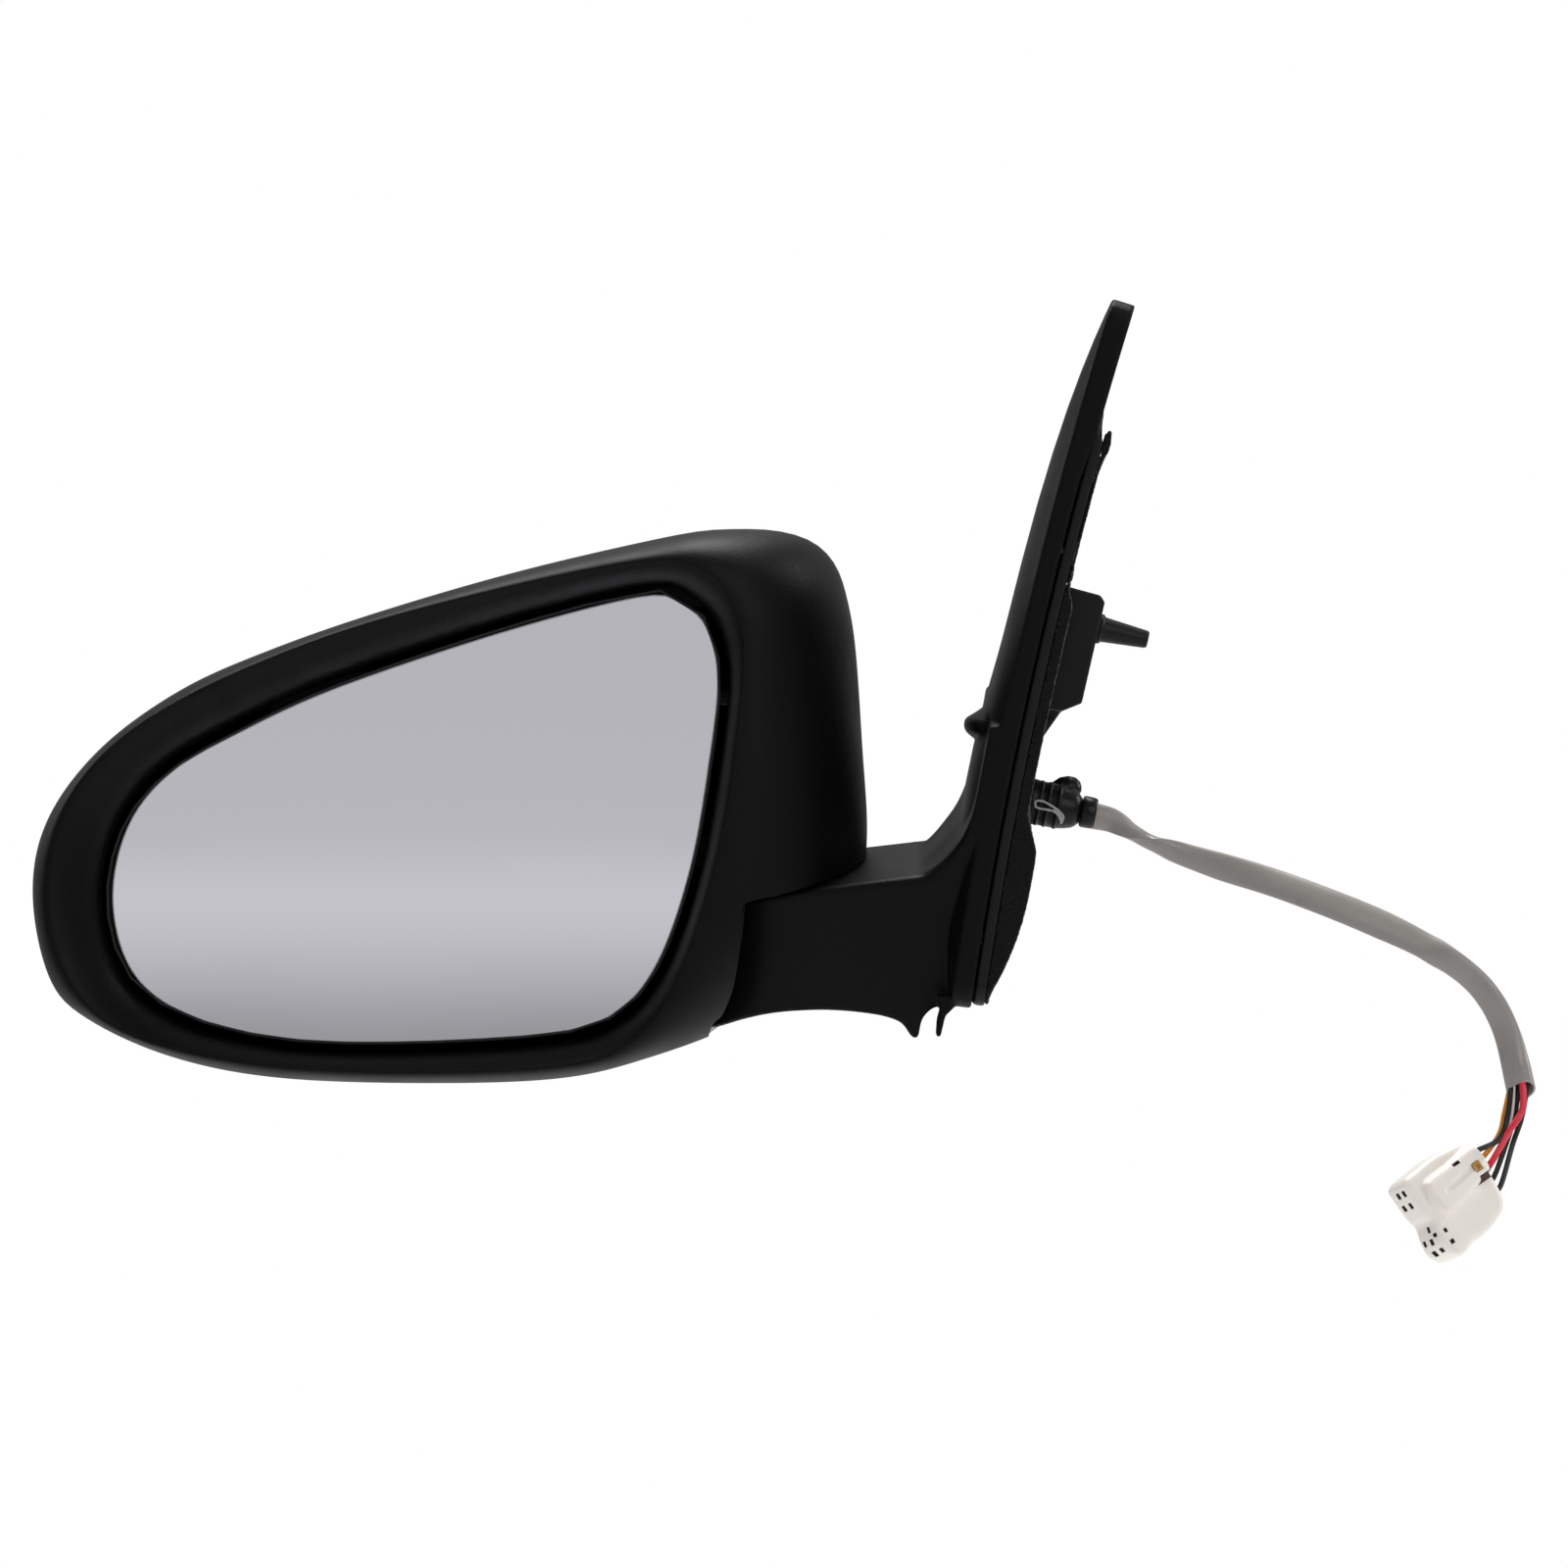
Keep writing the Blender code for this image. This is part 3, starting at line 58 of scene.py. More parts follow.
# ---- the part's own dimensions, in millimetres -------------------------------------------------
FOLD_PIVOT, FOLD_AXIS = Vector((-94, -3, -68)) * MM, Vector((-0.13, -0.20, 1.0)).normalized()
DOOR_FOOT_X, DOOR_LEAN, DOOR_CURVE = -23.0, 0.228, 0.000395
CREST_Y, SEAM_Y, CAP_DEPTH, GLASS_FACE_Y = -46, 12, 58, -31
HEAD_CENTRE, CAP_CENTRE = np.array((-200.0, -55.0)), np.array((-168.0, -50.0))
SILHOUETTE = [(-69, -58), (-70.5, -28), (-72.6, 2), (-75.2, 17), (-78.6, 27), (-85.5, 34),
              (-97, 37.2), (-110, 37.3), (-125, 35.8), (-172, 25), (-215, 12.6), (-250, 0.5),
              (-278, -12), (-302.5, -30), (-318.5, -51.5), (-323, -74), (-317.6, -100.3),
              (-306, -112), (-280, -123.6), (-248, -129.8), (-202, -131.4), (-162, -129.9),
              (-135, -123.6), (-108, -113.5), (-86, -99), (-73, -79)]
CREST = [(-106.8, -4.5), (-107.8, 8.8), (-112.6, 19), (-121.5, 25.4), (-135.4, 27), (-180, 18.4),
         (-234, 3.6), (-283.2, -18.6), (-307.8, -40.2), (-317.3, -65.6), (-314.8, -93.2),
         (-297, -114.3), (-259.6, -124.7), (-213.3, -127.8), (-165, -126.2), (-144.3, -120.8),
         (-129.5, -105), (-118.7, -76.5), (-110.8, -42)]
GLASS = [(-114.4, -8.3), (-117.8, 7.1), (-124.7, 14), (-136.6, 16.9), (-179.2, 6.1),
         (-230.3, -11), (-261.4, -25.2), (-281.6, -37.2), (-294.3, -53.5), (-298.9, -75.7),
         (-293.2, -97.2), (-277.3, -110.2), (-249.2, -117.6), (-214, -119.2), (-165.3, -116.4),
         (-145.5, -110), (-132.6, -94.5), (-122.7, -65.8), (-116.8, -32.1)]
SAIL = [((-37, -108), 7), ((-37, 107), 6), ((-16, 107), 9), ((66, -78), 16), ((70, -104), 12),
        ((64, -108), 6)]
SLEEVE_ROUTE = [(0.3, -2, -50.2), (6.3, -2, -51.8), (12.9, -2.5, -55.6), (19.8, -3, -59.2),
                (36.3, -4, -64.8), (54.8, -6, -70.5), (70.5, -8, -76.2), (85.5, -9, -82.3),
                (98.7, -10, -88.5), (109.8, -11, -95), (117.2, -11, -101), (122, -11, -107),
                (125.2, -11, -113), (127.6, -11, -119.5), (129.6, -11, -127.5),
                (131.1, -11, -134.4)]
SLEEVE_WIDTH = [(0, 8.2), (8, 7.2), (18, 6.3), (28, 6.8), (42, 8.4), (60, 9.3), (95, 9.7),
                (112, 8.5), (125, 8.0), (145, 8.3), (160, 9.0), (200, 9.0)]
BOOT_SPOT = (-2, -43.2)             # fore-aft and height on the door skin, as the next four
HARNESS_HOLE = (-2, -45.5)
BUSHES = [(-22, 58), (34, -38), (44, -88)]
ARM_SCREWS = [(-14, -86), (14, -86)]
COVER_SCREWS = [(-8, 46), (-26, 32)]
PIN_RISE = 7.5
NOTCH_RADIUS, NOTCH_GAP = 32.5, 0.8
DRUM_RADIUS, ARM_REAR, ARM_FRONT = 29, -28.5, 25
PLUG_CENTRE = Vector((107.4, -14, -168.3)) * MM
PLUG_AXIS = Vector((-0.72, -0.53, -0.45)).normalized()
PLUG_OUTLINE = [(-12.5, -13), (-10.5, -15.6), (3.7, -16.6), (10.4, -14.8), (13.3, -9.5), (14.6, -3),
                (14.8, 2), (15.8, 6), (15.6, 9.5), (12.9, 11.9), (9.6, 12.7), (6, 12.2),
                (2.2, 11.2), (-1.3, 12.1), (-10.7, 12.8), (-12.6, 11.8), (-13.3, 9.5), (-14, -1),
                (-13.6, -8)]
KEEL_OUTLINE = [(-10.2, -14.4), (-1, -15.4), (1.0, -8), (3.4, 5.5), (1.8, 8.4), (-2.8, 9.4),
                (-7.4, 8.8), (-9.4, 6.4), (-9.9, -3)]


# ---- materials ----------------------------------------------------------------------------------
def material(name, colour, roughness, metallic=0.0, specular=0.5):
    mat = bpy.data.materials.new(name)
    mat.use_nodes = True
    shader = mat.node_tree.nodes["Principled BSDF"]
    shader.inputs["Base Color"].default_value = (*colour, 1)
    shader.inputs["Roughness"].default_value = roughness
    shader.inputs["Metallic"].default_value = metallic
    shader.inputs["Specular IOR Level"].default_value = specular
    return mat, mat.node_tree, shader


def node(tree, kind, inputs=None, **settings):
    new = tree.nodes.new(kind)
    for key, value in settings.items():
        setattr(new, key, value)
    for key, value in (inputs or {}).items():
        if isinstance(value, bpy.types.NodeSocket):
            tree.links.new(value, new.inputs[key])
        else:
            new.inputs[key].default_value = value
    return new


def object_coordinates(tree):
    return node(tree, "ShaderNodeTexCoord").outputs["Object"]


def noise(tree, scale, detail):
    return node(tree, "ShaderNodeTexNoise", {"Vector": object_coordinates(tree), "Scale": scale,
                                             "Detail": detail})


def spread(tree, value, low, high):
    """The value's 0.3 to 0.7 stretched from low to high."""
    return node(tree, "ShaderNodeMapRange", {"Value": value, "From Min": 0.3, "From Max": 0.7,
                                             "To Min": low, "To Max": high}).outputs["Result"]


def scuffed(tree, shader, scale, detail, low, high):
    """Roughness between low and high in patches."""
    patches = spread(tree, noise(tree, scale, detail).outputs["Fac"], low, high)
    tree.links.new(patches, shader.inputs["Roughness"])


def tinted(tree, shader, colour, low, high, scale):
    """Base colour between low and high times the colour, in soft patches."""
    mix = node(tree, "ShaderNodeMix", data_type="RGBA")
    mix.inputs["A"].default_value = (*[min(c * low, 1) for c in colour], 1)
    mix.inputs["B"].default_value = (*[min(c * high, 1) for c in colour], 1)
    tree.links.new(noise(tree, scale, 4).outputs["Fac"], mix.inputs["Factor"])
    tree.links.new(mix.outputs["Result"], shader.inputs["Base Color"])


def bumped(tree, shader, height, strength, distance, edge=0.0):
    """Bump from a height; edge softens sharp corners over that many metres."""
    inputs = {"Height": height, "Strength": strength, "Distance": distance}
    if edge:
        inputs["Normal"] = node(tree, "ShaderNodeBevel", {"Radius": edge}, samples=6).outputs[0]
    tree.links.new(node(tree, "ShaderNodeBump", inputs).outputs["Normal"], shader.inputs["Normal"])


def moulded(name, colour, roughness=0.5, grain=1500, depth=0.35, edge=0.0004, specular=0.5):
    """Moulded plastic: fine leather-like grain, faint patches of handling in tint and gloss."""
    mat, tree, shader = material(name, colour, roughness, 0, specular)
    tinted(tree, shader, colour, 0.8, 1.25, 35)
    scuffed(tree, shader, 60, 5, roughness - 0.05, roughness + 0.05)
    cells = node(tree, "ShaderNodeTexVoronoi", {"Vector": object_coordinates(tree), "Scale": grain},
                 feature="SMOOTH_F1")
    fine = noise(tree, grain * 1.7, 2)
    height = node(tree, "ShaderNodeMath", {0: cells.outputs["Distance"], 1: fine.outputs["Fac"]},
                  operation="ADD")
    bumped(tree, shader, height.outputs["Value"], depth, 0.00012, edge)
    return mat


def metal(name, colour, roughness):
    """Plated or bare metal with a faint mottle."""
    mat, tree, shader = material(name, colour, roughness, 1.0)
    tinted(tree, shader, colour, 0.75, 1.15, 90)
    scuffed(tree, shader, 150, 6, roughness - 0.1, roughness + 0.12)
    bumped(tree, shader, noise(tree, 900, 3).outputs["Fac"], 0.25, 0.0001, 0.0003)
    return mat


def foam_material():
    """Open-cell foam tape with a knitted face."""
    mat, tree, shader = material("foam", (0.006, 0.006, 0.0065), 0.95, 0, 0.1)
    tinted(tree, shader, (0.005, 0.005, 0.0054), 0.4, 2.0, 900)
    cells = node(tree, "ShaderNodeTexVoronoi", {"Vector": object_coordinates(tree), "Scale": 900})
    bumped(tree, shader, cells.outputs["Distance"], 1.0, 0.0006)
    shader.inputs["Sheen Weight"].default_value = 0.15
    return mat


def mirror_material():
    """Silvered glass with a painted reflection: bright, a soft lighter band low down and a darker
    foot.
    """
    mat, tree, shader = material("mirror_glass", (0.5, 0.5, 0.52), 0.07, 1.0)
    # painted reflection: a ramp on height sets the base colour, a lighter band low down and a
    # darker foot
    height = node(tree, "ShaderNodeSeparateXYZ", {0: object_coordinates(tree)}).outputs["Z"]
    wobble = noise(tree, 9, 1).outputs["Fac"]
    painted_reflection_height = node(tree, "ShaderNodeMath", {0: wobble, 1: 0.012, 2: height}, operation="MULTIPLY_ADD")
    level = node(tree, "ShaderNodeMapRange", {"Value": painted_reflection_height.outputs["Value"], "From Min": -0.112,
                                              "From Max": 0.024})
    ramp = node(tree, "ShaderNodeValToRGB", {"Fac": level.outputs["Result"]})
    stops = [(0.0, 0.42), (0.13, 0.66), (0.27, 0.87), (0.36, 0.83), (0.47, 0.71), (1.0, 0.70)]
    while len(ramp.color_ramp.elements) < len(stops):
        ramp.color_ramp.elements.new(0.5)
    for element, (position, value) in zip(ramp.color_ramp.elements, stops):
        element.position = position
        element.color = (value, value * 0.985, value * 1.05, 1)
    ramp.color_ramp.interpolation = "B_SPLINE"
    tree.links.new(ramp.outputs["Color"], shader.inputs["Base Color"])
    return mat


def vinyl(name, colour, roughness):
    """Soft extruded skin: draw marks and slight scuffs."""
    mat, tree, shader = material(name, colour, roughness)
    tinted(tree, shader, colour, 0.82, 1.15, 60)
    scuffed(tree, shader, 120, 5, roughness - 0.08, roughness + 0.1)
    bumped(tree, shader, noise(tree, 250, 3).outputs["Fac"], 0.25, 0.0002)
    return mat


def milky_plastic():
    """Ivory nylon that lets a little light in."""
    mat, tree, shader = material("milky_plastic", (0.78, 0.75, 0.70), 0.38)
    tinted(tree, shader, (0.92, 0.868, 0.80), 0.94, 1.04, 80)
    bumped(tree, shader, noise(tree, 700, 2).outputs["Fac"], 0.12, 0.0001, 0.0005)
    shader.inputs["Subsurface Weight"].default_value = 0.15
    shader.inputs["Subsurface Scale"].default_value = 0.002
    return mat


HEAD_PLASTIC = moulded("head_plastic", (0.0018, 0.0018, 0.0019), 0.45, specular=0.12)
ARM_PLASTIC = moulded("arm_plastic", (0.0018, 0.0018, 0.0019), 0.46, specular=0.12)
INNER_PLASTIC = moulded("inner_plastic", (0.012, 0.012, 0.013), 0.5, 1100, 0.2, specular=0.25)
CAST = moulded("cast_block", (0.007, 0.007, 0.0074), 0.42, 1200, 0.2, 0.0008, 0.18)
STEEL = metal("plated_steel", (0.55, 0.55, 0.53), 0.35)
BRASS = metal("brass", (0.62, 0.43, 0.16), 0.3)
ACETAL = moulded("acetal", (0.62, 0.61, 0.56), 0.4, 900, 0.1)
FOAM = foam_material()
MIRROR = mirror_material()
RUBBER = moulded("rubber", (0.003, 0.003, 0.0033), 0.34, 700, 0.3, 0.0003, 0.2)
SLEEVE = vinyl("sleeve_vinyl", (0.285, 0.264, 0.245), 0.33)
HOOK = moulded("hook_plastic", (0.33, 0.32, 0.31), 0.4, 900, 0.1)
MILKY = milky_plastic()
FILM = moulded("heater_film", (0.30, 0.14, 0.05), 0.4, 500, 0.1)
EDGE = moulded("ground_edge", (0.62, 0.63, 0.65), 0.35, 1200, 0.1)
# painted shade for the inside of the plug's cavities and slots
PAINTED_CAVITY_SHADE = moulded("painted_cavity_shade", (0.10, 0.06, 0.045), 0.8, 900, 0.1)
AMBER = moulded("amber_plastic", (0.50, 0.27, 0.06), 0.35, 900, 0.1)
WIRE = {"orange": vinyl("wire_orange", (0.75, 0.28, 0.015), 0.3),
        "white": vinyl("wire_white", (0.75, 0.73, 0.68), 0.3),
        "red": vinyl("wire_red", (0.72, 0.03, 0.055), 0.28),
        "black": vinyl("wire_black", (0.008, 0.008, 0.009), 0.3)}
BY_SLOT = {"satin_black_plastic": ARM_PLASTIC, "die_cast_zinc": CAST, "foam": FOAM,
           "glass_filled_nylon": INNER_PLASTIC, "zinc_plated_steel": STEEL, "acetal": ACETAL,
           "brass": BRASS, "mirror_glass": MIRROR, "heater_film": FILM, "rubber": RUBBER,
           "sleeve_vinyl": SLEEVE, "connector_shell": MILKY, "wire_orange": WIRE["orange"],
           "wire_white": WIRE["white"], "wire_red": WIRE["red"], "wire_black": WIRE["black"]}
for part in frame["record"]["subparts"]:
    mesh = nodes[part["node"]].data
    mesh.materials.clear()
    mesh.materials.append(BY_SLOT[part["material_slot"]])


# ---- mesh helpers -------------------------------------------------------------------------------
def crisp(mesh, degrees):
    """Smooth shading, with corners over that many degrees left sharp."""
    mesh.shade_smooth()
    mesh.set_sharp_from_angle(angle=math.radians(degrees))


def add(name, bm, *mats, smooth=40):
    """The bmesh as an object, its faces turned outward."""
    bmesh.ops.recalc_face_normals(bm, faces=bm.faces)
    if bm.calc_volume(signed=True) < 0:
        bmesh.ops.reverse_faces(bm, faces=bm.faces)
    mesh = bpy.data.meshes.new(name)
    bm.to_mesh(mesh)
    bm.free()
    for mat in mats:
        mesh.materials.append(mat)
    crisp(mesh, smooth)
    obj = bpy.data.objects.new(name, mesh)
    bpy.context.scene.collection.objects.link(obj)
    return obj


def place(obj, body, slot, *replaced):
    """Put the piece on its body and in place of CAD nodes; slot is not used."""
    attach(obj, body)
    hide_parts(*replaced)


def loft(bm, rings, caps=(False, False), slot=0):
    """Faces between rings of points in metres; caps close the first and last ring."""
    loops = [[bm.verts.new(point) for point in ring] for ring in rings]
    count = len(loops[0])
    for a, b in zip(loops, loops[1:]):
        for i in range(count):
            j = (i + 1) % count
            bm.faces.new((a[i], a[j], b[j], b[i])).material_index = slot
    for wanted, loop in zip(caps, (loops[0], loops[-1])):
        if wanted == "fan":
            middle = bm.verts.new(sum((v.co for v in loop), Vector()) / count)
            for i in range(count):
                bm.faces.new((loop[i - 1], loop[i], middle)).material_index = slot
        elif wanted:
            bm.faces.new(loop).material_index = slot


def solid(name, rings, mat=None, cap=True):
    """A closed body through the rings; cap "fan" closes it round a middle point."""
    bm = bmesh.new()
    loft(bm, rings, caps=(cap, cap))
    return add(name, bm, *([mat] if mat else []))


def apply(obj):
    """Replace the object's mesh by what its modifiers make of it."""
    graph = bpy.context.evaluated_depsgraph_get()
    mesh = bpy.data.meshes.new_from_object(obj.evaluated_get(graph))
    obj.modifiers.clear()
    obj.data = mesh


def boolean(obj, other, operation="DIFFERENCE"):
    """Cut or join now, and drop the other object."""
    cut = obj.modifiers.new(operation, "BOOLEAN")
    cut.operation, cut.object, cut.solver = operation, other, "MANIFOLD"
    apply(obj)
    bpy.data.objects.remove(other)
    return obj


def remesh(obj, voxel, rounds, mat):
    """One even skin over the joined solids, its corners softened."""
    even = obj.modifiers.new("skin", "REMESH")
    even.mode, even.voxel_size = "VOXEL", voxel
    soft = obj.modifiers.new("soft", "SMOOTH")
    soft.iterations = rounds
    apply(obj)
    obj.data.materials.clear()
    obj.data.materials.append(mat)
    obj.data.shade_smooth()


def box(name, low, high, matrix=Matrix()):
    """A box between two corners in millimetres of the matrix's axes."""
    bm = bmesh.new()
    bmesh.ops.create_cube(bm, size=1)
    size, middle = Vector(high) - Vector(low), (Vector(high) + Vector(low)) / 2
    bm.transform(matrix @ Matrix.Translation(middle * MM) @ Matrix.Diagonal((*(size * MM), 1)))
    return add(name, bm)


def axes(origin, z_axis, x_hint=(1, 0, 0)):
    """A frame at the origin with that z axis, its x axis as near the hint as can be."""
    z = Vector(z_axis).normalized()
    x = Vector(x_hint)
    x = (x - z * x.dot(z)).normalized()
    return Matrix.Translation(Vector(origin)) @ Matrix((x, z.cross(x), z)).transposed().to_4x4()


def catmull(points, samples, closed=False):
    """Points along a smooth curve through the given ones."""
    points = [Vector(p) for p in points]
    count = len(points)
    result = []
    for i in range(count if closed else count - 1):
        if closed:
            a, b, c, d = (points[(i + k) % count] for k in (-1, 0, 1, 2))
        else:
            b, c = points[i], points[i + 1]
            a = points[i - 1] if i else b * 2 - c
            d = points[i + 2] if i + 2 < count else c * 2 - b
        for step in range(samples):
            t = step / samples
            result.append(0.5 * (2 * b + (c - a) * t + (2 * a - 5 * b + 4 * c - d) * t ** 2
                                 + (3 * b - a - 3 * c + d) * t ** 3))
    return result if closed else result + [points[-1]]


def flat_curve(points, samples, closed=False):
    """catmull for pairs."""
    return [(p.x, p.y) for p in catmull([(*p, 0) for p in points], samples, closed)]


def put(matrix, points):
    """Points in millimetres of the matrix's axes, in metres of the part's frame."""
    return [matrix @ (Vector(p) * MM) for p in points]


def slab(name, profile, y0, y1, matrix=Matrix()):
    """The (x, z) profile, in millimetres, from depth y0 to y1."""
    return solid(name, [put(matrix, [(x, y, z) for x, z in profile]) for y in (y0, y1)])


def turned(name, profile, matrix, mat=None, segments=48):
    """A solid of revolution from (radius, height) pairs in millimetres."""
    rings = [[matrix @ Vector((r * MM * math.cos(math.tau * i / segments),
                               r * MM * math.sin(math.tau * i / segments), h * MM))
              for i in range(segments)] for r, h in profile]
    return solid(name, rings, mat)


def rounded(corners, steps=6):
    """A polygon with an arc at each corner, from (corner, radius) pairs."""
    points = [Vector(c) for c, _ in corners]
    outline = []
    for i, (_, radius) in enumerate(corners):
        here = points[i]
        before = (points[i - 1] - here).normalized()
        after = (points[(i + 1) % len(points)] - here).normalized()
        half = before.angle(after) / 2
        reach = radius / math.tan(half)
        start, end = here + before * reach, here + after * reach
        centre = here + (before + after).normalized() * (radius / math.sin(half))
        for step in range(steps + 1):
            p = start.lerp(end, step / steps) - centre
            outline.append(centre + p.normalized() * radius)
    return outline


def step_between(value, low, high):
    """0 below low to 1 above high, easing at both ends."""
    t = min(max((value - low) / (high - low), 0), 1)
    return t * t * (3 - 2 * t)


FOLD = axes(FOLD_PIVOT, FOLD_AXIS)
PLUG = axes(PLUG_CENTRE, PLUG_AXIS, (0.51, 0, -0.86))


# ---- harness ------------------------------------------------------------------------------------
def sleeve_section(path, i, width, thick, twist, edge, shear):
    """A flat section across the path at sample i, turned by twist from facing the rear.

    edge above 1 gives creased sides; shear pulls the near wall back from an oblique mouth."""
    ahead = (path[min(i + 1, len(path) - 1)] - path[max(i - 1, 0)]).normalized()
    rear = Vector((0, -1, 0))
    rear = (rear - ahead * rear.dot(ahead)).normalized()
    across = ahead.cross(rear)
    turn = Matrix.Rotation(twist, 3, ahead)
    ring = []
    for k in range(40):
        a = math.tau * k / 40
        c, s = math.cos(a), math.sin(a)
        u = math.copysign(abs(c) ** 0.9, c) * width / 2
        v = math.copysign(abs(s) ** edge, s) * thick / 2
        spot = turn @ (across * u + rear * v)
        ring.append(path[i] + spot - ahead * shear * spot.dot(rear))
    return ring


def sleeve():
    """Flat vinyl sleeve: one half twist near the collar, a crease, and an oblique open mouth."""
    path = catmull([Vector(p) * MM for p in SLEEVE_ROUTE], 12)
    lengths = [0.0]
    for a, b in zip(path, path[1:]):
        lengths.append(lengths[-1] + (b - a).length)
    total = lengths[-1]
    rings, inner = [], []
    for i, along in enumerate(lengths):
        s = along / MM
        turning = math.exp(-((s - 17) / 9) ** 2)
        mouth = step_between(s, total / MM - 22, total / MM - 4)
        crease = math.exp(-((s - 116) / 5) ** 2)
        tilt = 0.7 * step_between(s, 108, 119) - 0.4 * step_between(s, 38, 62)
        twist = tilt - math.pi * step_between(s, 3, 32)
        width = float(np.interp(s, *zip(*SLEEVE_WIDTH)))
        thick = 3.2 + 1.5 * turning + 0.8 * crease + 4.2 * mouth + 1.6 * step_between(s, 8, 0)
        edge = 1.25 + 0.4 * turning - 0.3 * mouth
        shear = 0.8 * mouth ** 2
        rings.append(sleeve_section(path, i, width * MM, thick * MM, twist, edge, shear))
        if s > total / MM - 15:
            wall = 1.2
            inner.append(sleeve_section(path, i, (width - wall) * MM, (thick - wall) * MM, twist,
                                        edge, shear))
    bm = bmesh.new()
    loft(bm, rings + inner[::-1], caps=(True, True))
    piece = add("harness_sleeve", bm, SLEEVE, smooth=50)
    place(piece, "base", "sleeve_vinyl", "cable_sleeve")


def curve_piece(name, lines, radius, mat):
    """Round strands along lines of points in metres."""
    data = bpy.data.curves.new(name, "CURVE")
    data.dimensions, data.bevel_depth, data.bevel_resolution = "3D", radius, 5
    data.use_fill_caps = True
    for points in lines:
        line = data.splines.new("POLY")
        line.points.add(len(points) - 1)
        for point, target in zip(line.points, points):
            point.co = (*target, 1)
    data.materials.append(mat)
    obj = bpy.data.objects.new(name, data)
    bpy.context.scene.collection.objects.link(obj)
    return obj


def wires():
    """Six leads from inside the sleeve's mouth to the rear face of the plug."""
    # colour, suffix, radius, place in the mouth, points between, place on the plug
    leads = [("orange", "", 0.85, (-2.6, 0.6), [(126.0, -9.4, -141.5), (124.3, -9.6, -148)],
              (-4.6, 0.5)),
             ("white", "", 0.6, (-1.8, -1.0), [(128, -11.6, -142), (125.3, -11.5, -149)],
              (-0.6, 0.5)),
             ("black", "_1", 0.85, (-2.6, -1.4), [(126.9, -12.4, -141.5), (124.3, -12.6, -149)],
              (-7.4, 1.0)),
             ("red", "", 1.05, (0.8, -2.0), [(131.2, -14, -140), (127, -14.5, -147)],
              (-2.2, 3.4)),
             ("black", "_2", 0.85, (0, 1.2), [(129.2, -9.4, -142), (126.8, -9.5, -150)],
              (2.2, 0.5)),
             ("black", "_3", 0.85, (2.4, 0.4), [(131.4, -10.4, -142), (128.4, -10.8, -151)],
              (5.4, 1.4))]
    mouth, above = (Vector(p) * MM for p in (SLEEVE_ROUTE[-1], SLEEVE_ROUTE[-2]))
    down = (mouth - above).normalized()
    for colour, suffix, radius, (right, rear), between, (x, y) in leads:
        start = mouth + Vector((right, rear, 0)) * MM
        goal = PLUG @ (Vector((x, y, -16)) * MM)
        stops = [start - down * 8 * MM, start - down * 3 * MM, *[Vector(p) * MM for p in between],
                 goal - PLUG_AXIS * 4 * MM, goal, goal + PLUG_AXIS * 5 * MM]
        line = catmull(stops, 10)
        lead = curve_piece("wire_lead_" + colour + suffix, [line], radius * MM, WIRE[colour])
        place(lead, "base", "wire_" + colour, "wire_" + colour + suffix)


def plug_slab(name, outline, layers):
    """Layers of the outline up the plug's broad face: (height, inset) in millimetres."""
    fine = np.array(flat_curve(outline, 5, True))
    return solid(name, [put(PLUG, [(x, y, z) for x, z in inward(fine, inset)])
                        for y, inset in layers], cap="fan")


def plug():
    """The milky housing: broad body, raised double keel, windows and terminal cavities."""
    body = plug_slab("plug_housing", PLUG_OUTLINE, [(-6.2, 2.4), (-6.0, 1.5), (-5.3, 0.5), (-4, 0),
                                                    (4.2, 0), (5.2, 0.35), (5.9, 1.1), (6.2, 2.2)])
    boolean(body, plug_slab("keel", KEEL_OUTLINE, [(3, -0.6), (5.6, -0.6), (6.4, -0.1), (8, 0.3),
                                                   (9, 0.9), (9.5, 2.0)]), "UNION")
    trough = ((-5.6, 11.2), (-5.2, 9.6), (-4.2, 8.7), (-3.0, 8.7), (-2.0, 9.6), (-1.6, 11.2))
    groove = [put(PLUG, [(x + 0.11 * z, y + lift, z) for x, y in trough])
              for z, lift in ((-20, 0), (-4, 0), (3, 0.4), (9, 2.5))]
    boolean(body, solid("groove", groove))
    remesh(body, 0.3 * MM, 3, MILKY)
    # painted shade: the faces cut for the cavities and slots below take this dark second material
    body.data.materials.append(PAINTED_CAVITY_SHADE)
    cavities = [(-9.2, -0.7, 1.0, 0.8), (-9.2, 2.6, 1.0, 0.8), (-5.0, -1.9, 1.0, 0.8),
                (-4.9, 1.9, 1.0, 0.8), (4.2, 2.0, 0.9, 0.7), (6.3, 4.2, 0.6, 0.8),
                (7.9, 1.4, 1.0, 0.9), (7.6, -2.6, 0.9, 0.7), (11.4, 3.6, 0.8, 0.9),
                (11.6, -0.7, 1.0, 1.1)]
    cuts = [((x - w, y - h, 9.5), (x + w, y + h, 15)) for x, y, w, h in cavities]
    cuts += [((6.0, 5, 8.6), (7.4, 7, 9.8)), ((10.0, 5, 8.4), (11.4, 7, 10)),
             ((-9.0, 7.6, -6.2), (-8.0, 11, -3.4)), ((-1.3, 5.6, -15.8), (1.1, 11, -9.8)),
             ((-5.6, 8.0, -12.5), (-2.6, 11, -9.5))]
    for low, high in cuts:
        cutter = box("cut", low, high, PLUG)
        for polygon in cutter.data.polygons:
            polygon.material_index = 1
        boolean(body, cutter)
    crisp(body.data, 50)
    place(body, "base", "connector_shell", "connector_body")
    window = box("plug_window", (-5.5, 8.1, -12.4), (-2.7, 9.5, -9.6), PLUG)
    boolean(window, box("hole", (-4.9, 8.9, -11.8), (-3.3, 12, -10.2), PLUG))
    window.data.materials.clear()
    window.data.materials.append(AMBER)
    place(window, "base", "connector_shell", "connector_retainer")


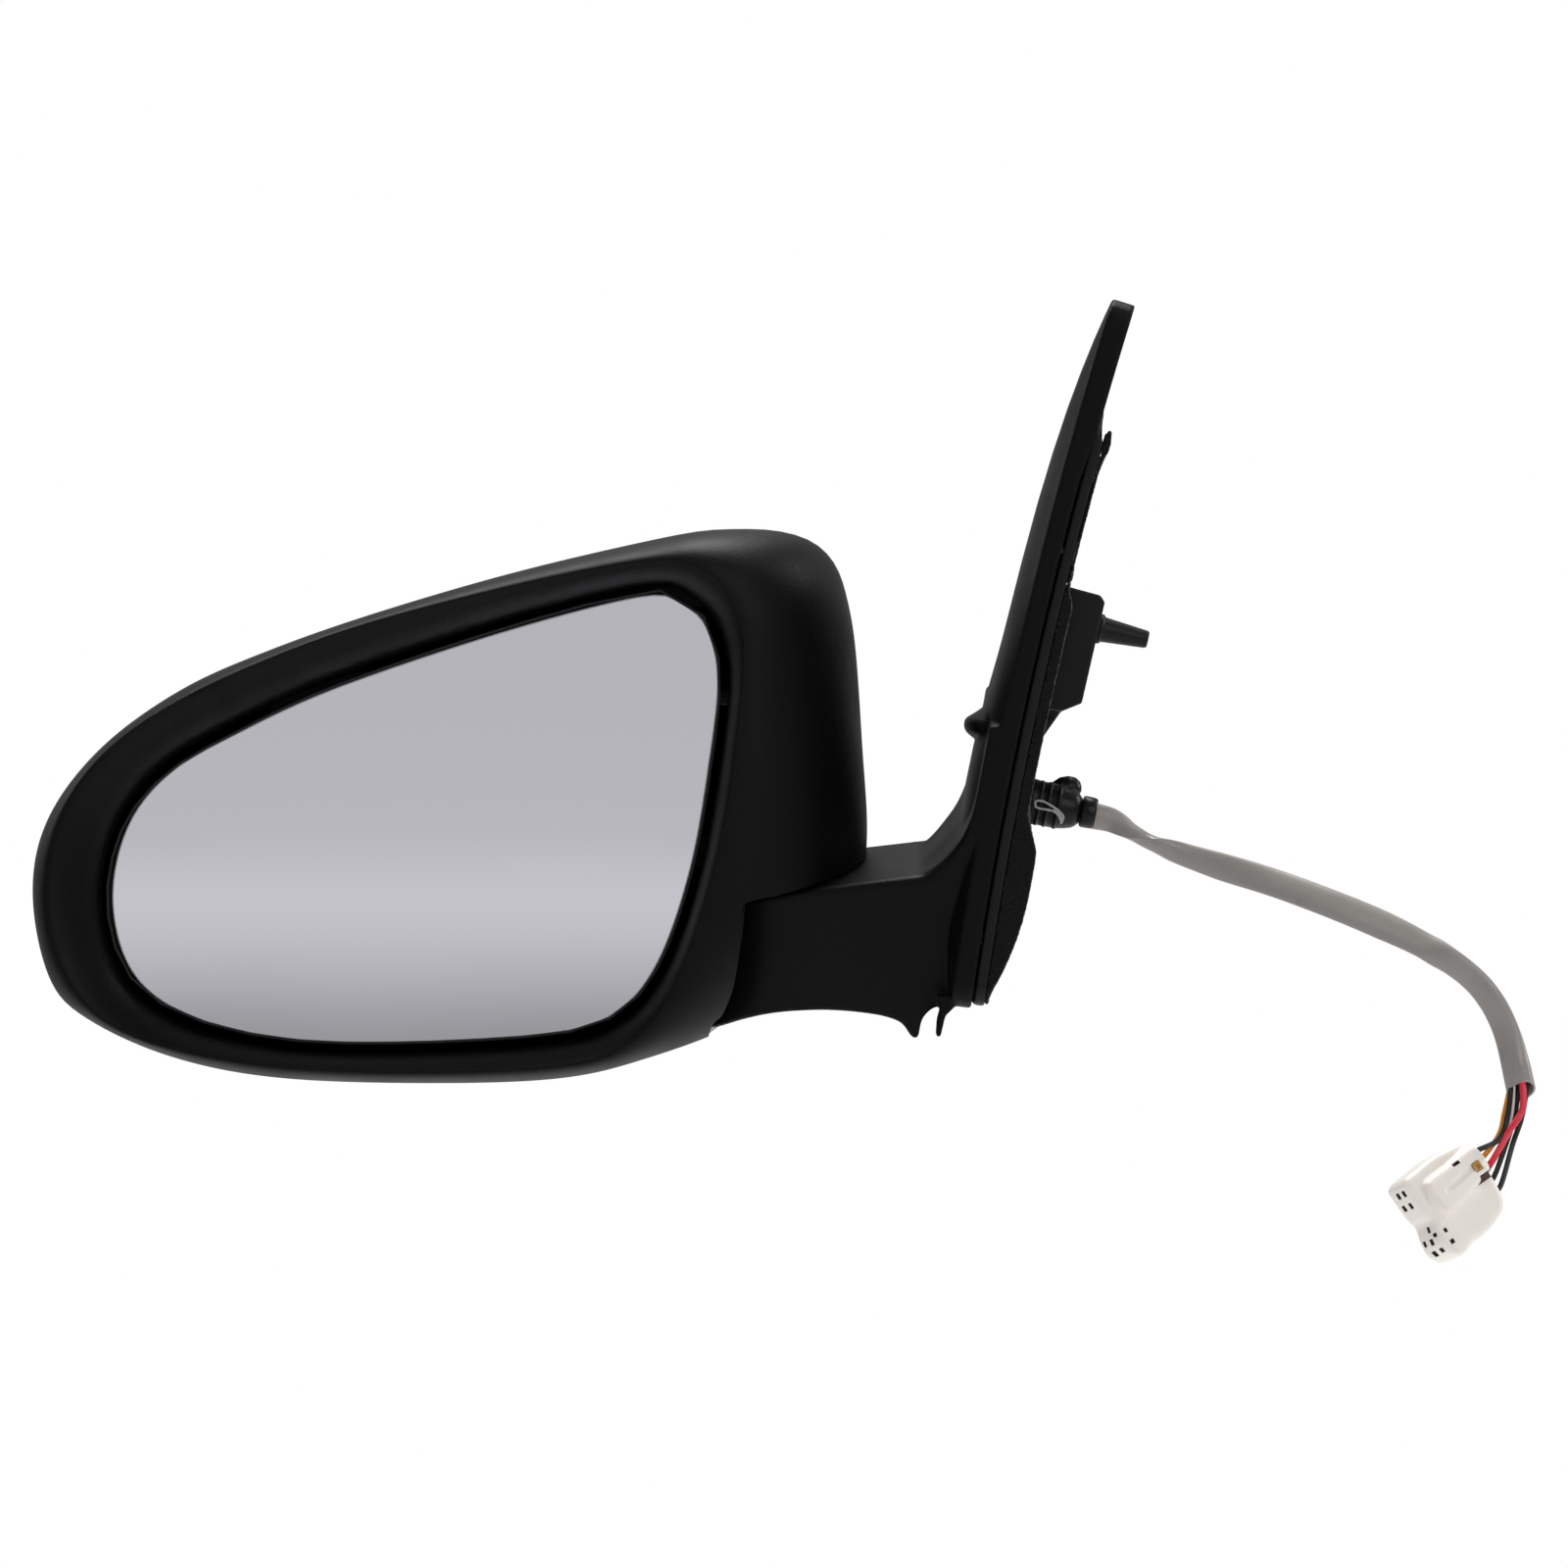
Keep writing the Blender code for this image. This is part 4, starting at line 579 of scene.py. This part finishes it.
def boot():
    """Ribbed rubber boot on the harness exit, with its collar and the wire hook beside it."""
    outlet = door_axes(*BOOT_SPOT)
    profile = [(2, 6.2), (6.9, 6.2), (6.9, 13.2), (7.1, 13.6), (6.95, 14.8)]
    for w in (16.2, 18.8, 22.0):
        profile += [(6.85, w - 0.4), (7.15, w - 0.1), (7.15, w + 0.1), (6.75, w + 0.4)]
    profile += [(6.3, 25), (5.7, 27), (5.0, 28.1), (4.3, 28.6), (4.0, 29.2), (2, 29.2)]
    rubber = turned("harness_boot", profile, outlet)
    knob = axes(outlet @ (Vector((3.0, 6.2, 24.2)) * MM), (0.9, 0.1, 0.1))
    boolean(rubber, turned("knob", [(0.3, -5.5), (2.4, -4.6), (3.6, -2.2), (3.7, 0.5), (3.0, 2.6),
                                    (1.6, 3.8), (0.3, 4.1)], knob, segments=32), "UNION")
    remesh(rubber, 0.3 * MM, 2, RUBBER)
    place(rubber, "base", "rubber", "harness_grommet")
    collar = [(4.2, 29.3), (4.7, 29.5), (4.9, 30.2), (4.8, 33), (4.5, 33.7), (4.2, 33.9),
              (2.5, 33.9), (2.5, 29.3)]
    place(turned("harness_collar", collar, outlet, RUBBER), "base", "rubber", "sleeve_collar")
    upper = [(15.2, -1.2), (14.7, 0.1), (16.5, 0.7), (19, 0.1), (21.4, -0.8), (23.5, -2.1),
             (24.2, -3.1), (23.8, -4.9)]
    lower = [(23.8, -4.9), (23.3, -3.7), (22.3, -2.5), (20.8, -1.7), (18.9, -1.6), (15.4, -1.5),
             (14.7, 0.1)]
    web = [(20.6, -1.2), (22.2, -2.0), (23.5, -3.2), (23.8, -4.6)]

    def on_boot(w, up):
        reach = 7.45 - 0.02 * (w - 14) ** 1.5
        return -math.sqrt(reach ** 2 - up * up), up, w
    strands = [put(outlet, [on_boot(w, up) for w, up in flat_curve(line, 5)])
               for line in (upper, lower, web)]
    place(curve_piece("harness_hook", strands, 0.36 * MM, HOOK), "base", "acetal", "harness_clip")


# ---- outlines -----------------------------------------------------------------------------------
def head_outline(points, soften, count=256):
    """The outline at matching angles round HEAD_CENTRE, as count (x, z) rows in millimetres.

    soften is in degrees round the outline."""
    away = np.array(flat_curve(points, 16, True)) - HEAD_CENTRE
    angle = np.arctan2(away[:, 1], away[:, 0]) % math.tau
    radius = np.hypot(away[:, 0], away[:, 1])
    samples = 2048
    even = np.arange(samples) * math.tau / samples
    order = np.argsort(angle)
    radius = np.interp(even, angle[order], radius[order], period=math.tau)
    waves = np.fft.rfftfreq(samples, 1 / samples)
    spectrum = np.fft.rfft(radius) * np.exp(-0.5 * (waves * math.radians(soften)) ** 2)
    radius = np.fft.irfft(spectrum, samples)
    wanted = math.tau * np.arange(count) / count
    wanted = np.arctan2(0.62 * np.sin(wanted), np.cos(wanted))
    radius = np.interp(wanted % math.tau, even, radius, period=math.tau)
    return HEAD_CENTRE + radius[:, None] * np.stack((np.cos(wanted), np.sin(wanted)), 1)


def offset(outline, distance):
    """An anticlockwise outline moved outwards."""
    along = np.roll(outline, -1, 0) - np.roll(outline, 1, 0)
    out = np.stack((along[:, 1], -along[:, 0]), 1)
    return outline + distance * out / np.linalg.norm(out, axis=1, keepdims=True)


def inward(outline, inset):
    """An outline of either sense moved inwards."""
    x, z = outline[:, 0], outline[:, 1]
    area = np.sum(x * np.roll(z, -1) - np.roll(x, -1) * z)
    return offset(outline, -inset if area > 0 else inset)


def ring(outline, y):
    """(x, z) rows in millimetres, at depth y (one number or one for each row)."""
    y = np.broadcast_to(y, len(outline))
    return [Vector((p[0] * MM, d * MM, p[1] * MM)) for p, d in zip(outline, y)]


silhouette = head_outline(SILHOUETTE, 1.2)
crest = head_outline(CREST, 1.5)
glass = head_outline(GLASS, 0.8)
well_edge = offset(glass, 3.0)
seam = offset(silhouette, -0.6)


# ---- head ---------------------------------------------------------------------------------------
def arm_room(name):
    """The room in the head for the arm; its rear edge is the parting line."""
    room = turned(name, [(NOTCH_RADIUS, NOTCH_GAP), (NOTCH_RADIUS, -72)], FOLD, segments=96)
    boolean(room, box("front", (-9, -2, -72), (90, 100, NOTCH_GAP), FOLD), "UNION")
    foot = [(-12.2, 0.9), (-13.2, -4), (-15.6, -13), (-19.2, -25), (-23.6, -33.5), (-28.5, -40),
            (-36, -71)]
    near = [(27, 12.5), (17, 3.2), (9, 1.2), (-1, 0.9), *foot]
    for edge, top, y0, y1 in ((foot, NOTCH_GAP, -37, -2), (near, 60, -90, -36)):
        profile = [(92, top), *flat_curve(edge, 8), (92, -71)]
        boolean(room, slab("side", profile, y0, y1, FOLD), "UNION")
    return boolean(room, box("join", (-2, -38, -70), (60, -34, NOTCH_GAP), FOLD), "UNION")


def bezel():
    """Rim, side wall and well of the head, from the seam back over the crest to the glass."""
    reach = np.linalg.norm(silhouette - crest, axis=1)
    drop = np.minimum(8 + 1.25 * reach, 50)
    rings = [ring(offset(silhouette, -22), SEAM_Y - 0.6), ring(seam, SEAM_Y - 0.2),
             ring(silhouette, SEAM_Y - 1.2)]
    for t in np.linspace(0, 1, 22):
        angle = t * math.pi / 2
        across, along = math.cos(angle) ** 1.15, math.sin(angle) ** 1.15
        rings.append(ring(crest + (silhouette - crest) * across, CREST_Y + drop * (1 - along)))
    depth = GLASS_FACE_Y + 3 - CREST_Y
    for t in np.linspace(0, 1, 14)[1:]:
        across, along = 1 - (1 - t) ** 1.5, t ** 1.35
        rings.append(ring(crest + (well_edge - crest) * across, CREST_Y + depth * along))
    rings += [ring(well_edge, GLASS_FACE_Y + 5.5), ring(well_edge, GLASS_FACE_Y + 8),
              ring(offset(well_edge, 2.4), GLASS_FACE_Y + 9),
              ring(offset(well_edge, 6), GLASS_FACE_Y + 11)]
    bm = bmesh.new()
    loft(bm, rings + rings[:1])
    bmesh.ops.remove_doubles(bm, verts=bm.verts, dist=1e-6)
    shell = add("head_bezel", bm, HEAD_PLASTIC)
    boolean(shell, arm_room("bezel_room"))
    boolean(shell, turned("shaft_room", [(16, 54), (16, -6)], FOLD))
    crisp(shell.data, 35)
    place(shell, "head", "satin_black_plastic", "bezel")


def cap_rings(outline, depth):
    """Rings from the seam forward to the crown of the cap."""
    rings = []
    for step in range(25):
        angle = math.radians(86) * step / 24
        rings.append(ring(CAP_CENTRE + (outline - CAP_CENTRE) * math.cos(angle) ** 0.8,
                          SEAM_Y + 3 + depth * math.sin(angle)))
    return rings


def front_cap():
    """The hollow cap in front of the seam."""
    rings = [ring(seam, SEAM_Y + 0.2), ring(silhouette, SEAM_Y + 1.2)]
    shell = solid("head_front_cap", rings + cap_rings(silhouette, CAP_DEPTH - 1), HEAD_PLASTIC)
    inset = offset(silhouette, -2.6)
    hollow = [ring(inset, SEAM_Y - 2)] + cap_rings(inset, CAP_DEPTH - 3.6)
    boolean(shell, solid("hollow", hollow))
    boolean(shell, arm_room("cap_room"))
    crisp(shell.data, 35)
    place(shell, "head", "satin_black_plastic", "front_cap")


def mirror():
    """The glass plate, its ground edge catching the light."""
    face = ring(offset(glass, -0.5), GLASS_FACE_Y)
    bm = bmesh.new()
    loft(bm, [face], caps=(True, False))
    loft(bm, [face, ring(offset(glass, -0.1), GLASS_FACE_Y + 0.3), ring(glass, GLASS_FACE_Y + 0.8),
              ring(glass, GLASS_FACE_Y + 2.0)], caps=(False, True), slot=1)
    bmesh.ops.remove_doubles(bm, verts=bm.verts, dist=1e-6)
    plate = add("mirror_plate", bm, MIRROR, EDGE, smooth=25)
    place(plate, "glass", "mirror_glass", "mirror_glass")


bezel()
front_cap()
mirror()


# ---- sail and arm -------------------------------------------------------------------------------
def door_point(u, z, w):
    """Millimetres fore-aft, up and inboard from the door skin, to metres in the part's frame."""
    x = DOOR_FOOT_X + DOOR_LEAN * z + DOOR_CURVE * z * z
    lean = math.atan(DOOR_LEAN + 2 * DOOR_CURVE * z)
    return Vector((x + w * math.cos(lean), u, z - w * math.sin(lean))) * MM


def door_axes(u, z):
    """A frame on the door skin: x forward, y up the skin, z inboard."""
    lean = math.atan(DOOR_LEAN + 2 * DOOR_CURVE * z)
    return axes(door_point(u, z, 0), (math.cos(lean), 0, -math.sin(lean)), (0, 1, 0))


def sail_outline(inset, count=220):
    """The sail's outline, evenly spaced, moved inwards by inset millimetres."""
    corners = np.array([tuple(p) for p in rounded(SAIL, 8)])
    step = np.linalg.norm(np.roll(corners, -1, 0) - corners, axis=1)
    along = np.concatenate(([0], np.cumsum(step)))
    closed = np.concatenate((corners, corners[:1]))
    even = np.linspace(0, along[-1], count, endpoint=False)
    return inward(np.stack([np.interp(even, along, closed[:, k]) for k in (0, 1)], 1), inset)


def sail_slab(name, inset, outer, inner, dome=lambda z: 0.0):
    """A plate along the door skin; outer, inner and dome give lengths at a height."""
    outline = sail_outline(inset)
    centre = outline.mean(0)
    scales = (0.05, 0.2, 0.35, 0.5, 0.62, 0.73, 0.82, 0.9, 0.96, 0.99)
    rings = []
    for s in scales + (1.0,):
        rings.append([door_point(u, z, outer(z) - dome(z) * (1 - 0.8 * s ** 4))
                      for u, z in centre + (outline - centre) * s])
    for s in (1.0,) + scales[::-1]:
        rings.append([door_point(u, z, inner(z)) for u, z in centre + (outline - centre) * s])
    return solid(name, rings, cap="fan")


def arm_plan(inset):
    """The arm from above, from the drum round the fold shaft to beyond the sail."""
    radius, rear, front = DRUM_RADIUS - inset, ARM_REAR + inset, ARM_FRONT - inset
    drum = [(radius * math.cos(a), radius * math.sin(a))
            for a in (math.pi * (0.5 + i / 48) for i in range(49))]
    return drum + [(x, rear) for x in (22, 44, 66)] + \
        [(x, front + (radius - front) * (66 - x) / 90) for x in (66, 44, 22)]


def arm_fillet():
    """The flare by which the arm's top, front and rear sweep into the sail."""
    rings = []
    crown = [(34, -1.2), (37, -0.9), (40, -0.4), (43, 0.5), (46, 1.9), (49, 3.8), (52, 6.3),
             (55, 9.7), (58, 14.5), (61, 21), (68, 42)]
    for x, top in flat_curve(crown, 5):
        flare = (x - 34) / 33
        rear, front = -28.2 - 8.5 * flare ** 4, 26 + 13 * flare ** 3
        lift = 2 * step_between(x, 42, 52)
        section = rounded([((rear, -62), 1), ((front, -62), 1), ((front, top + lift), 8),
                           ((rear, top), 2)])
        rings.append(put(FOLD, [(x, *p) for p in section]))
    rings.append(put(FOLD, [(90, *p) for p in section]))
    return solid("arm_fillet", rings)


def below_arm():
    """What the arm's curved lower edge leaves out, down to the drip point by the sail."""
    edge = [(-140, -113), (-124, -116.2), (-117, -115.6), (-107, -112.4), (-98, -110.4),
            (-88, -109.5), (-79, -109.5), (-70, -110.3), (-63, -111.6), (-58.5, -113.6),
            (-55.6, -117.5), (-53.6, -117.5), (-52.2, -112), (-48, -108.4), (-40, -107.8),
            (-20, -108), (10, -108)]
    return slab("below", [(10, -200), *flat_curve(edge, 5)[::-1], (-140, -200)], -90, 90)


def fin():
    """The vane on the sail's outer face: a long slope above, a blunt lip, undercut below."""
    lip = flat_curve([(-5, -2.5), (-12, 0.2), (-17, 2.4), (-20.2, 5.2), (-22.4, 7.6), (-24.4, 8.0),
                      (-26.4, 7.0), (-27.8, 4.6), (-28.8, 2.0), (-31, -2.5)], 5)
    rings = []
    for t in np.linspace(-0.98, 0.98, 21):
        k = math.sqrt(1 - t * t)
        rings.append([door_point(-11 + 17 * t, -24 + (z + 24) * (0.5 + 0.5 * k), -(3.4 + out * k))
                      for z, out in lip])
    return solid("fin", rings)


def sail_skin():
    """Sail cover, arm, fin and drain tab as one moulding."""
    skin = sail_slab("sail_and_arm", 0, lambda z: 0.8,
                     lambda z: 5.4 + 1.3 * step_between(z, 52, 68),
                     lambda z: 6 + 1.6 * step_between(-z, -10, 30))
    levels = ((-64, 0), (-1.9, 0), (-1.2, 0.15), (-0.5, 0.7), (0, 1.9))     # height, inset
    arm = solid("arm", [put(FOLD, [(x, y, z) for x, y in arm_plan(inset)])
                        for z, inset in levels])
    boolean(arm, arm_fillet(), "UNION")
    boolean(arm, below_arm())
    boolean(arm, box("flush", (-62, -120, -220), (80, -36.9, 120)))
    boolean(arm, sail_slab("trim", -30, lambda z: 3.9, lambda z: 70))
    boolean(skin, arm, "UNION")
    boolean(skin, fin(), "UNION")
    tab = [(-47.5, -105), (-42.5, -105), (-42.8, -108.6), (-45.4, -111), (-46.9, -117.4),
           (-48.2, -117.6), (-47.8, -112), (-46.8, -108.6)]
    boolean(skin, slab("drain_tab", tab, -33, -12), "UNION")
    remesh(skin, 0.55 * MM, 7, ARM_PLASTIC)
    place(skin, "base", "satin_black_plastic", "sail_cover", "arm_lower_cover")


sail_skin()
boot()
sleeve()
plug()
wires()


# ---- plate, block, foam and pin ----------------------------------------------------------------
def block_axes(rise=0.0):
    """A frame on the block's end face: x forward, y up the face, z inboard."""
    return axes((0, 0, 0), (1, 0, -DOOR_LEAN), (0, 1, 0)) @ Matrix.Translation((0, rise * MM, 0))


def prism(name, profile, half_width):
    """The block's (height, inboard) profile across that half width."""
    return solid(name, [put(block_axes(), [(u, y, z) for y, z in profile])
                        for u in (-half_width, half_width)])


def drill(obj, spot, radius, top=40, segments=32):
    """A hole through the plate or the foam at a spot on the door skin."""
    cutter = turned("hole", [(radius, top), (radius, -20)], door_axes(*spot), segments=segments)
    boolean(obj, cutter)


def plate():
    """The cast base plate with its block and gusset."""
    casting = sail_slab("door_plate", 1.2, lambda z: 5.9,
                        lambda z: 9.3 - 2.6 * step_between(z, 66, 68))
    block = [(17.6, -14.6), (17.1, -1.8), (15.4, 0), (-16.3, 0), (-20, -5.3), (-21, -14.6)]
    boolean(casting, prism("block", block, 22), "UNION")
    gusset = [(-18, -5.3), (-20, -5.3), (-30, -9.4), (-36, -14.6), (-18, -14.6)]
    boolean(casting, prism("gusset", gusset, 8), "UNION")
    boolean(casting, turned("pin_hole", [(3.3, 20), (3.3, -8)], block_axes(PIN_RISE), segments=32))
    drill(casting, HARNESS_HOLE, 7.4, 30, 40)
    for spot in BUSHES:
        drill(casting, spot, 6)
    for spot in ARM_SCREWS + COVER_SCREWS:
        drill(casting, spot, 3.4, segments=24)
    remesh(casting, 0.55 * MM, 4, CAST)
    place(casting, "base", "die_cast_zinc", "base_plate")


def gasket():
    """The foam on the door side, thicker at its foot and cut back at its toe."""
    def inner(z):
        low, toe = step_between(-z, 46, 60), min(max((-66 - z) / 37.5, 0), 1)
        end = math.exp(-((z - 65) / 4) ** 2)
        return 12.8 + 4.8 * low - 7.2 * toe ** 2.3 - 2.5 * step_between(z, 16, 22) + 1.4 * end
    foam = sail_slab("door_foam", 1.6, lambda z: 9.6, inner)
    boolean(foam, box("window", (-23.5, -22.8, -20), (23.5, 19.2, 20), block_axes()))
    boolean(foam, box("gusset_window", (-9.5, -38.5, -20), (9.5, -8.5, 20), block_axes()))
    boolean(foam, box("end", (-100, -100, 67), (100, 100, 160)))
    drill(foam, HARNESS_HOLE, 8.8, segments=40)
    for spot in BUSHES + ARM_SCREWS + COVER_SCREWS:
        drill(foam, spot, 6.4)
    remesh(foam, 0.6 * MM, 5, FOAM)
    texture = bpy.data.textures.new("foam_lumps", "CLOUDS")
    texture.noise_scale = 0.0013
    lumps = foam.modifiers.new("lumps", "DISPLACE")
    lumps.texture, lumps.strength, lumps.mid_level = texture, 0.0005, 0.5
    apply(foam)
    place(foam, "base", "foam", "door_gasket")


def fasteners():
    """Low mounting bushes and cover screws, flush with the pressed foam."""
    for i, (u, z) in enumerate(BUSHES, 1):
        top = 10.2 if z > 0 else 12.6
        bush = [(5.7, 5.9), (5.7, top - 0.3), (5.4, top), (3.3, top), (3.0, top - 0.3), (3.0, 5.9)]
        place(turned(f"mount_bush_{i}", bush + bush[:1], door_axes(u, z), STEEL), "base",
              "zinc_plated_steel", f"mount_insert_{i}")
    head = [(0.3, 0.9), (1.4, 0.9), (1.4, 9.5), (3.6, 9.5), (3.6, 10), (3.2, 10.3), (1.5, 10.4),
            (1.3, 9.9), (0.3, 9.9)]
    for i, spot in enumerate(COVER_SCREWS, 1):
        place(turned(f"cover_fixing_{i}", head, door_axes(*spot), STEEL, 32), "base",
              "zinc_plated_steel", f"cover_screw_{i}")


def pin():
    """The tapered locating pin with its collar."""
    profile = [(0.4, -7), (3, -7), (3, 0.35), (4.4, 0.35), (4.6, 0.6), (4.6, 1.2), (4.4, 1.5),
               (4.0, 1.7), (3.85, 2.2), (2.75, 15.0), (2.6, 15.6), (2.2, 16), (0.4, 16)]
    place(turned("pin", profile, block_axes(PIN_RISE), CAST), "base", "glass_filled_nylon",
          "locating_pin")


plate()
gasket()
fasteners()
pin()


# ---- stage --------------------------------------------------------------------------------------
def area_light(name, where, target, size, power):
    """A rectangular light at a place in metres, facing the target."""
    data = bpy.data.lights.new(name, "AREA")
    data.shape, data.size, data.size_y = "RECTANGLE", *size
    data.energy = power
    light = bpy.data.objects.new(name, data)
    bpy.context.scene.collection.objects.link(light)
    light.location = where
    light.rotation_euler = (Vector(target) - Vector(where)).to_track_quat("-Z", "Y").to_euler()


middle = (-0.12, 0, -0.03)
area_light("overhead", (-0.3, 0.4, 1.5), middle, (1.6, 0.9), 42)
area_light("left_rear", (-1.7, 0.7, 0.9), middle, (0.8, 1.2), 8)
area_light("right_rear", (1.6, 0.5, 0.7), middle, (0.6, 1.2), 13)
area_light("fill", (1.0, -1.6, 0.7), middle, (1.1, 1.1), 9)
area_light("card", (-0.395, -5.6, -0.07), (-0.2, 0, -0.05), (1.25, 1.1), 1.3)

world = bpy.data.worlds.new("studio")
bpy.context.scene.world = world
world.use_nodes = True
tree = world.node_tree
background = tree.nodes["Background"]
background.inputs["Color"].default_value = (1, 1, 1, 1)     # what the camera sees
background.inputs["Strength"].default_value = 1.0
dim = node(tree, "ShaderNodeBackground", {"Color": (0.98, 0.985, 1, 1), "Strength": 0.36})
seen = node(tree, "ShaderNodeLightPath").outputs["Is Camera Ray"]
mixed = node(tree, "ShaderNodeMixShader", {0: seen})
tree.links.new(dim.outputs[0], mixed.inputs[1])
tree.links.new(background.outputs[0], mixed.inputs[2])
tree.links.new(mixed.outputs[0], tree.nodes["World Output"].inputs["Surface"])

bm = bmesh.new()
bmesh.ops.create_grid(bm, x_segments=1, y_segments=1, size=5.5)
floor = add("floor", bm, material("floor_paper", (0.85, 0.85, 0.86), 0.8)[0])
floor.location = (0, 0, -0.75)
